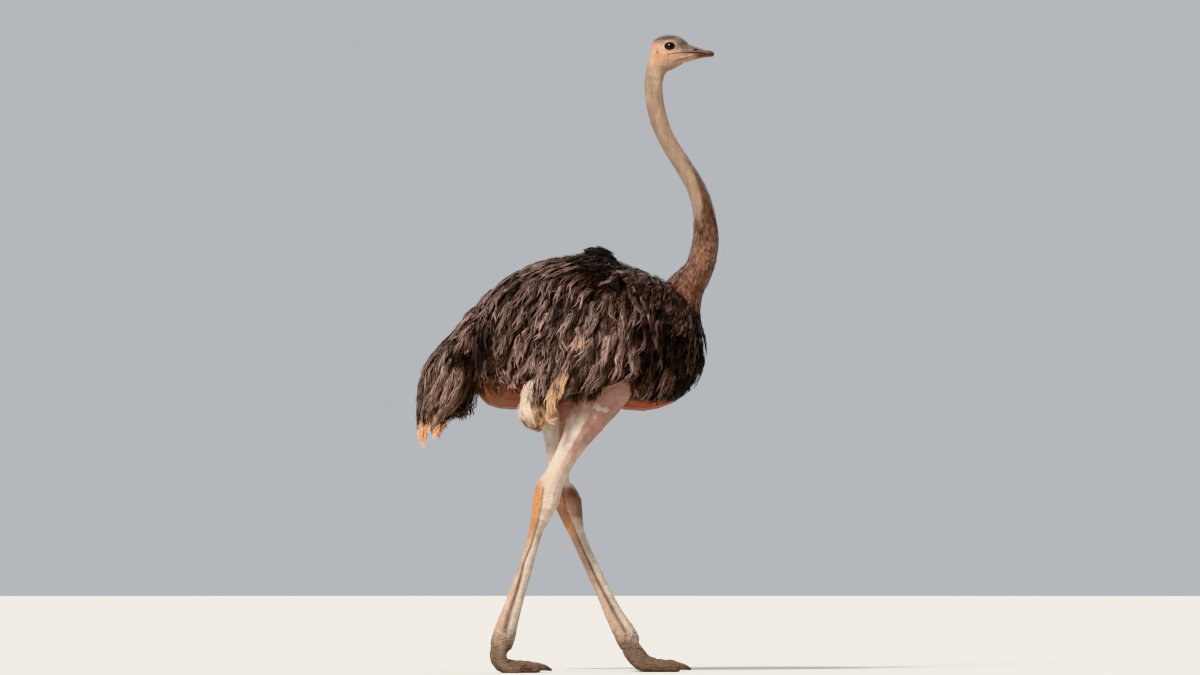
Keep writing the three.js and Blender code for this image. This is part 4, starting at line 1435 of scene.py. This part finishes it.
# Free hanging plumes: guide line on the bird's left, spread along it, their number and shade.
HANGING = {
    "dark": [
        ([(0.05, 0.245, 1.02), (0.035, 0.235, 0.95), (0.028, 0.22, 0.89)],
         (0.02, 0.025, 0.016), 22, 0.1),
        ([(0.1, 0.235, 1.0), (0.088, 0.225, 0.95), (0.078, 0.212, 0.895)],
         (0.016, 0.02, 0.012), 16, 0.1),
        # Near-black plumes filling the hollow before the tail: painted shade.
        ([(-0.262, 0.05, 1.12), (-0.285, 0.06, 1.02), (-0.315, 0.055, 0.93)],
         (0.05, 0.06, 0.03), 60, 0.03),
        ([(-0.33, 0.03, 0.96), (-0.35, 0.032, 0.9), (-0.352, 0.03, 0.85)],
         (0.02, 0.022, 0.016), 14, 0.05),
        ([(-0.375, 0.05, 0.9), (-0.372, 0.048, 0.868), (-0.352, 0.044, 0.856)],
         (0.014, 0.016, 0.012), 18, 0.02),
        ([(-0.44, 0.066, 0.95), (-0.446, 0.066, 0.88), (-0.45, 0.062, 0.818)],
         (0.02, 0.016, 0.004), 16, 0.28),
        ([(-0.474, 0.05, 0.95), (-0.484, 0.05, 0.88), (-0.476, 0.048, 0.822)],
         (0.014, 0.01, 0.004), 12, 0.28),
        ([(-0.414, 0.062, 0.93), (-0.42, 0.06, 0.87), (-0.424, 0.058, 0.826)],
         (0.012, 0.01, 0.004), 10, 0.22),
        ([(0.275, 0.205, 1.05), (0.252, 0.196, 0.99), (0.238, 0.186, 0.925)],
         (0.014, 0.02, 0.014), 34, 0.04),
        ([(0.15, 0.02, 1.385), (0.118, 0.024, 1.403), (0.088, 0.024, 1.403), (0.064, 0.022, 1.392)],
         (0.01, 0.01, 0.008, 0.003), 26, -0.05),
    ],
    "blond": [
        ([(0.012, 0.272, 1.05), (-0.006, 0.274, 1.0), (-0.026, 0.268, 0.955), (-0.034, 0.252, 0.905)],
         (0.01, 0.012, 0.01, 0.004), 26, 0.7),
        ([(-0.01, 0.27, 1.0), (-0.04, 0.266, 0.95), (-0.058, 0.254, 0.905), (-0.05, 0.236, 0.862)],
         (0.009, 0.012, 0.01, 0.005), 24, 0.75),
        ([(0.05, 0.274, 1.16), (0.04, 0.276, 1.11), (0.036, 0.274, 1.06), (0.026, 0.27, 1.01)],
         (0.006, 0.007, 0.006, 0.003), 9, 0.5),
        ([(-0.052, 0.236, 0.9), (-0.07, 0.228, 0.856), (-0.062, 0.222, 0.834), (-0.04, 0.218, 0.828)],
         (0.004, 0.004, 0.003, 0.002), 6, 0.9),
    ],
    "tips": [
        ([(-0.47, 0.05, 0.895), (-0.476, 0.05, 0.85), (-0.482, 0.046, 0.805), (-0.486, 0.04, 0.765)],
         (0.012, 0.013, 0.009, 0.002), 24, 0.6),
        ([(-0.452, 0.062, 0.885), (-0.455, 0.06, 0.845), (-0.461, 0.056, 0.8)],
         (0.008, 0.007, 0.003), 9, 0.4),
        ([(-0.425, 0.066, 0.885), (-0.427, 0.064, 0.84), (-0.438, 0.058, 0.785)],
         (0.009, 0.009, 0.004), 16, 0.6),
        ([(-0.408, 0.06, 0.88), (-0.41, 0.058, 0.845), (-0.414, 0.05, 0.812)],
         (0.006, 0.006, 0.003), 7, 0.5),
    ],
}


# UNDER and MIDDLE lie below the outer plumes, near black as painted shade in the gaps between them.
UNDER = Kind(length=0.13, width=0.055, barbs=20, cuts=3, ribbon=0.0042, sink=0.034, proud=-0.016, lift=0.002,
             raised=0.0, wave=0.003, curl=0.0, clumping=0.3, shade=0.0, mixed=0.02, ridge=0.002)
MIDDLE = Kind(length=0.1, width=0.03, barbs=20, proud=-0.007, lift=0.003, raised=0.003, shade=0.06,
              mixed=0.08)
FLANK = Kind(length=0.115, width=0.026, barbs=33, ribbon=0.0018, wave=0.0032, wavelength=0.085, clumps=2,
             clumping=0.8, curl=0.013, lift=0.007, raised=0.007, ridge=0.006, shade=0.4, mixed=0.24,
             turn=0.2)
BACK = Kind(length=0.115, width=0.022, barbs=30, ribbon=0.0018, wave=0.0022, wavelength=0.09, curl=0.006,
            lift=0.003, raised=0.001, ridge=0.004, shade=0.38, mixed=0.2)
TAIL = Kind(length=0.14, width=0.024, barbs=28, wave=0.003, wavelength=0.09, curl=0.009, raised=0.002,
            lift=0.005, shade=0.42, mixed=0.22)
# CHEST plumes are darker than the flank's, partly as painted shade on the breast.
CHEST = FLANK.like(length=0.075, width=0.018, curl=0.008, raised=0.001, lift=0.003, proud=-0.004, shade=0.22)
WHITE = Kind(length=0.075, width=0.017, barbs=26, ribbon=0.0013, shade=0.98, wave=0.002, curl=0.006,
             ridge=0.003, mixed=0.08, clumping=0.35, raised=0.004, lift=0.003, sink=0.012, proud=-0.003,
             steps=8, turn=0.12)
WING_DARK = WHITE.like(length=0.085, shade=0.3, mixed=0.2, clumping=0.7, ribbon=0.0019, raised=0.01,
                       proud=0.001, barbs=22)
TUFT = Kind(length=0.075, width=0.02, barbs=22, ribbon=0.002, steps=8, wave=0.003, wavelength=0.05,
            curl=0.016, raised=0.01, sink=0.012, lift=0.004, clumps=2, shade=-0.04, mixed=0.02, turn=0.3)
RUFF = Kind(length=0.055, width=0.018, barbs=18, cuts=3, ribbon=0.0018, steps=6, sink=0.016, lift=0.002,
            raised=0.002, wave=0.002, curl=0.006, ridge=0.004, shade=0.2, mixed=0.14, turn=0.25)
LOOSE = Kind(width=0.018, barbs=24, wave=0.003, wavelength=0.06, curl=0.01, mixed=0.2, clumps=2)
TIP = LOOSE.like(width=0.011, clumps=1, clumping=0.95, curl=0.006, fray=0.002)


BODY_PIECES = [
    "plumes_back", "plumes_right_rear", "plumes_right_front", "plumes_left_rear", "plumes_left_front",
]
TAIL_ROOT = -0.33  # X, behind which the flank's plumes end


def in_piece(name, points):
    """Whether points lie in a piece's part of the body."""
    x, y, z = points.T
    steep = np.abs(y) > 0.62 * (z - BODY_AXIS)
    if name == "plumes_back":
        return ~steep
    beside = y >= 0 if "left" in name else y < 0
    return steep & beside & (x >= 0.03 if "front" in name else x < 0.03)


def on_wing_tip(points, normals):
    x, y, z = points.T
    return (np.abs(y) > 0.135) & (x > curve(z, WING_REAR)) & (x < -0.03) & (z > 0.825)


def on_white(points, normals):
    x, y, z = points.T
    return on_wing_tip(points, normals) & (x < curve(z, WING_PARTING)) & (z < 0.99)


def on_wing_dark(points, normals):
    x, y, z = points.T
    return on_wing_tip(points, normals) & (x > curve(z, WING_PARTING) + 0.004) & (z > 0.875) & (z < 0.98)


def on_rump(points, normals):
    x, y, z = points.T
    behind = (x < -0.15) * (x > TAIL_ROOT) * (np.abs(y) < 0.17)
    return behind * smoothstep(0.935, 1.0, z) * (z < 1.06)


def on_tuft(points, normals):
    return near_spot(points, BACK_TUFT, (0.028, 0.05)) * (normals[:, 2] > 0.4)


def on_tail(points, normals):
    return (points[:, 0] < -0.3) & (points[:, 2] > 0.83)


def make_body_plumes(body, plumage, rng):
    """Back and flanks: broad near-black plumes under the outer ones, painted shade in their gaps; short ones
    low on the breast.
    """
    for name in BODY_PIECES:
        outer = BACK if name == "plumes_back" else FLANK
        layers = [(UNDER, 0.03, 0.015), (MIDDLE, 0.024, 0.02), (outer, 0.0225, 0.025)]
        if name.endswith("front"):
            layers.append((CHEST, 0.016, 0.004))
        batches = []
        for kind, spacing, margin in layers:

            def wanted(points, normals):
                x, y, z = points.T
                chest = (x > 0.22) & (z < 1.12) | (kind is not CHEST)
                return (z > curve(x, HEM) + margin) & (x > TAIL_ROOT) & in_piece(name, points) & chest

            looks = HEM, flank_tint, plume_size
            batches.append(grow_plumes(body, spacing, wanted, kind, lie_body, rng, *looks))
        coat_piece(name, batches, plumage, unwrap_body)


def make_coat():
    """All plumes, down, hairs and lashes, from one row of random draws."""
    rng = np.random.default_rng(SEED)
    outline = remeshed(node_copy(["trunk", "tail", "wing_right", "wing_left"]), COAT_VOXEL)
    smooth_shape(outline, 10)
    body = Surface(outline)
    plumage = plume_material("plumage", (0.005, 0.003, 0.0028), (0.53, 0.345, 0.3), (0.8, 0.5, 0.31))
    dark, light, pale = (0.006, 0.004, 0.0035), (0.5, 0.33, 0.275), (0.96, 0.53, 0.28)
    tail_plumage = plume_material("tail_plumage", dark, light, pale)
    make_body_plumes(body, plumage, rng)
    tail = [
        grow_plumes(body, spacing, on_tail, kind, lie_body, rng, TAIL_HEM, tail_tint)
        for kind, spacing in ((UNDER, 0.03), (TAIL, 0.0175))
    ]
    cream = plume_material("white_plumage", (0.46, 0.26, 0.16), (1.0, 0.85, 0.7), (1.0, 0.9, 0.8))
    white = grow_plumes(body, 0.0085, on_white, WHITE, lie_wing_tip, rng, tint=white_tint)
    coat_piece("plumes_wing_tips", [white], cream, unwrap_body)
    loose = [
        grow_plumes(body, 0.0125, on_wing_dark, WING_DARK, lie_wing_tip, rng, tint=wing_dark_tint),
        grow_plumes(body, 0.013, on_rump, RUFF, lie_body, rng, size=lambda roots: 0.7),
        grow_plumes(body, 0.008, on_tuft, TUFT, lie_body, rng),
    ]
    for side in SIDES.values():
        for tone, bundles in HANGING.items():
            tint = no_tint if tone == "dark" else blond_tint
            kind, piece = (TIP, tail) if tone == "tips" else (LOOSE, loose)
            for guide, spread_at, count, shade in bundles:
                piece.append(grow_bundle(guide, side, spread_at, kind.like(shade=shade), count, rng, tint))
    coat_piece("plumes_loose", loose, plumage, unwrap_body)
    coat_piece("plumes_tail", tail, tail_plumage, unwrap_body)
    make_neck_coat(rng, plumage)


DOWN = Kind(length=0.024, width=0.009, barbs=9, cuts=3, ribbon=0.001, steps=4, sink=0.006, proud=-0.0012,
            lift=0.001, raised=0.0014, ridge=0.0015, wave=0.0008, wavelength=0.02, curl=0.002, clumps=2,
            clumping=0.6, fray=0.0012, turn=0.28, shade=0.45, mixed=0.13)
FUZZ = DOWN.like(length=0.016, width=0.007, barbs=10, ribbon=0.0005, sink=0.003, proud=-0.002,
                 lift=0.0004, raised=0.0005, ridge=0.0008, fray=0.0006, turn=0.2, mixed=0.1, clumping=0.45)
BRISTLE = FUZZ.like(length=0.013, width=0.004, barbs=3, cuts=2, raised=0.0045, turn=0.45, clumping=0.1,
                    shade=0.32, proud=-0.0008, lift=0.0006, mixed=0.2)
FACE_DOWN = BRISTLE.like(length=0.006, width=0.003, barbs=4, ribbon=0.00036, raised=0.0003, shade=0.55,
                         proud=-0.001, lift=0.0002, fray=0.0003, mixed=0.12)
FUZZ_FROM = 1.52  # Z, over which the neck's down is short and fine
CROWN_FRONT = 0.39  # X of the dark bristles over the bill


def lie_neck(places, normals):
    """Down the neck, with a loose drift."""
    ahead = 0.3 * layered_noise(places, 0.03, 8) - 0.25 * smoothstep(1.42, 1.25, places[:, 2])
    return heading(normals, ahead, 0.3 * layered_noise(places, 0.03, 9), -1.0)


def lie_head(places, normals):
    """From the bill back over the crown, the cheeks and the nape."""
    return heading(normals, -1.0, 0.0, -0.25 - 1.2 * smoothstep(0.32, 0.29, places[:, 0]))


def neck_ahead(points):
    """How far a point of the neck lies ahead of its middle, as a share of its half width."""
    return (points[:, 0] - curve(points[:, 2], NECK_LINE)) / 0.04


def sandy_share(points):
    """The neck is brown low down and sandy above, with the brown higher on its front."""
    edge = 1.51 + 0.21 * smoothstep(-0.5, 1.0, neck_ahead(points))
    return smoothstep(-0.035, 0.035, points[:, 2] - edge + 0.03 * layered_noise(points, 0.03, 93))


def neck_tint(points, along):
    """Brown and mottled low down, sandy and streaked above, darker on the nape and the throat."""
    z = points[:, 2]
    streaks = layered_noise(points * (1.0, 1.0, 0.15), 0.012, 91)
    mottle = layered_noise(points, 0.012, 95)
    sandy = sandy_share(points)
    # The last term lightens the neck's root, partly as painted sunlight.
    change = 0.2 * streaks + 0.26 * mottle * (1.0 - sandy) + 0.22 * smoothstep(1.51, 1.4, z)
    change -= 0.14 * smoothstep(0.5, 1.2, np.abs(neck_ahead(points)))
    cream = 0.5 * near_spot(points, (0.301, 1.968), (0.014, 0.045)) + 0.25 * smoothstep(1.97, 2.04, z)
    return change, sandy * (0.5 + 0.3 * streaks + cream)


def over_ruff(points):
    """Height over the slanting line where the neck's down gives way to the body's plumes."""
    return points[:, 2] - (1.317 - 0.83 * (points[:, 0] - 0.323))


def lie_ruff(places, normals):
    """Down the neck's root and on over the back and the shoulders."""
    y = places[:, 1]
    ahead = 0.3 * layered_noise(places, 0.05, 18) - 0.45
    return heading(normals, ahead, 0.6 * np.sign(y) * smoothstep(0.0, 0.04, np.abs(y)), -1.0)


def ruff_tint(points, along):
    return 0.1 * smoothstep(-0.05, 0.01, over_ruff(points)), 0.0


def crown_tint(points, along):
    return -0.3 * bell(points[:, 0] - CROWN_FRONT, 0.02), 0.0


def face_tint(points, along):
    return 0.0, 0.85 - 0.6 * smoothstep(0.362, 0.392, points[:, 0])


def grow_lashes(side, rng, count=44):
    """Dark lashes in a row along the upper lid."""
    t = np.linspace(0.0, 1.0, 6)[None, None, :, None]
    angle = np.linspace(0.35, math.pi - 0.25, count) + rng.normal(0.0, 0.02, count)
    rim = np.stack([np.cos(angle) * LID_LENGTH, np.zeros(count), np.sin(angle) * LID_HEIGHT], axis=1)
    depth = np.sqrt(EYE_RADIUS**2 - (rim[:, 0] * 0.95) ** 2 - (rim[:, 2] * 0.95) ** 2)
    root = mirrored(EYE, side) + rim + np.outer(depth + 0.0022, (0.0, side, 0.0))
    ahead = np.tile([0.0, side * 1.0, -0.15], (count, 1)) + rim / LID_LENGTH * 0.5
    length = 0.0085 * rng.uniform(0.7, 1.15, count)[:, None, None, None]
    ahead = unit(ahead + rng.normal(0.0, 0.08, (count, 3)))[:, None, None, :]
    points = root[:, None, None, :] + length * (ahead * t + np.array([0.15, 0.0, 0.45]) * t**2)
    wide = np.array([0.00028, 0.0, 0.0]) * (1.0 - t)
    dark = np.zeros((count, 1, 6))
    return {
        "first": points + wide, "second": points - wide, "root": root,
        "along": dark + t[..., 0], "shade": dark, "pale": dark,
    }


def on_ruff(points, normals):
    x, y, z = points.T
    over = over_ruff(points) + 0.012 * layered_noise(points, 0.03, 73)
    return (over < 0.012) * (over > -0.115) * (x > 0.2) * (np.abs(y) < 0.13) * (z > 1.15)


def on_low_neck(points, normals):
    return (over_ruff(points) > -0.012) & (points[:, 2] < FUZZ_FROM)


def on_high_neck(points, normals):
    return (points[:, 2] >= FUZZ_FROM) * smoothstep(2.06, 1.93, points[:, 2])


def on_crown(points, normals):
    x, y, z = points.T
    over = smoothstep(2.088, 2.106, z + 0.25 * (x - 0.34)) * smoothstep(0.416, 0.402, x)
    return over * (0.4 + 0.6 * bell(x - CROWN_FRONT, 0.022))


def on_face(points, normals):
    x, y, z = points.T
    bare = (z > NECK_TOP) * (nearest_lids(points) > 1.35) * (x < 0.392)
    return bare * (0.35 + 0.6 * smoothstep(2.06, 2.03, z))


def make_neck_coat(rng, plumage):
    """A ruff of short plumes round the neck's root, down above it, and bristles and lashes on the head."""
    outline = remeshed(node_copy(["neck_base", "neck_middle", "neck_upper", "head"]), 0.006)
    smooth_shape(outline, 4)
    neck = Surface(outline)
    down = plume_material("neck_down", (0.032, 0.014, 0.01), (0.52, 0.285, 0.195), (0.74, 0.54, 0.385), 0.7)
    low = grow_plumes(neck, 0.0054, on_low_neck, DOWN, lie_neck, rng, tint=neck_tint)
    coat_piece("down_neck_low", [low], down, unwrap_neck)
    high = grow_plumes(neck, 0.0042, on_high_neck, FUZZ, lie_neck, rng, tint=neck_tint)
    coat_piece("down_neck_high", [high], down, unwrap_neck)

    outline = remeshed(node_copy(["trunk", "neck_base", "neck_middle"]), COAT_VOXEL)
    set_points(outline, spread(mesh_points(outline), mesh_edges(outline), 24))
    ruff = grow_plumes(Surface(outline), 0.0105, on_ruff, RUFF, lie_ruff, rng, tint=ruff_tint)
    coat_piece("plumes_neck_root", [ruff], plumage, unwrap_neck)

    def uneven(roots):
        return rng.lognormal(0.0, 0.25, len(roots))

    hairs = [
        grow_plumes(neck, 0.0018, on_crown, BRISTLE, lie_head, rng, tint=crown_tint, size=uneven),
        grow_plumes(neck, 0.0026, on_face, FACE_DOWN, lie_head, rng, tint=face_tint, size=uneven),
    ]
    hairs.extend(grow_lashes(side, rng) for side in SIDES.values())
    dark, light, pale = (0.012, 0.009, 0.008), (0.3, 0.22, 0.17), (0.6, 0.385, 0.25)
    hair = plume_material("head_bristles", dark, light, pale, 0.6)
    coat_piece("bristles_head", hairs, hair, unwrap_neck)


# ---------------------------------------------------------------- stage, light and camera
VIEW_WIDTH = 4.0  # metres across the picture at the bird
AIM = Vector((0.1065, 0.0, 1.115))
DISTANCE = 22.0
ELEVATION = -2.0  # degrees
SENSOR = 36.0


def make_stage():
    """A pale floor under an even pale sky."""
    maker = bmesh.new()
    bmesh.ops.create_circle(maker, cap_ends=True, radius=60.0, segments=96)
    shader = Shader("pale_floor", 0.8)
    shader.colour(shader.mix(shader.noise(1.5, 3.0), (0.7, 0.68, 0.65), (0.74, 0.72, 0.69)))
    floor = make_object("floor", finished(maker, "floor"), shader.material)
    world = bpy.data.worlds.new("studio")
    bpy.context.scene.world = world
    world.use_nodes = True
    background = world.node_tree.nodes["Background"]
    background.inputs["Color"].default_value = (0.88, 0.92, 0.96, 1.0)
    background.inputs["Strength"].default_value = 0.56
    bpy.context.scene.view_settings.view_transform = "Khronos PBR Neutral"


def make_light(name, place, softness, power, colour):
    """A far soft lamp that shines from `place` towards the origin."""
    data = bpy.data.lights.new(name, "SUN")
    data.angle = math.radians(softness)
    data.energy = power
    data.color = colour
    made = add_object(name, data)
    made.location = place
    made.rotation_euler = (-Vector(place)).to_track_quat("-Z", "Y").to_euler()


def make_camera():
    """A long lens from far off on the bird's right, as in the photo."""
    data = bpy.data.cameras.new("camera")
    data.sensor_width = SENSOR
    data.lens = SENSOR * DISTANCE / VIEW_WIDTH
    data.clip_end = 200.0
    made = add_object("camera", data)
    angle = math.radians(ELEVATION)
    made.location = AIM + Vector((0.0, -math.cos(angle), math.sin(angle))) * DISTANCE
    made.rotation_euler = (AIM - made.location).to_track_quat("-Z", "Y").to_euler()
    bpy.context.scene.camera = made


make_camera()
make_stage()
make_light("key", (-3.6, -5.6, 6.2), 11.0, 3.9, (1.0, 0.95, 0.87))
make_light("rim", (3.0, 6.0, 4.5), 40.0, 0.7, (1.0, 0.97, 0.93))

make_skin()
for eye_name, eye_side in SIDES.items():
    make_eye(eye_name, eye_side)
bill_material = horn_material("bill_horn", (0.36, 0.28, 0.23), 0.5)
make_bill("upper", bill_material)
make_bill("lower", bill_material)
claw_material = horn_material("claw_horn", (0.3, 0.25, 0.2), 0.4)
for claw_name in SIDES:
    make_claw(claw_name, claw_material)
make_coat()
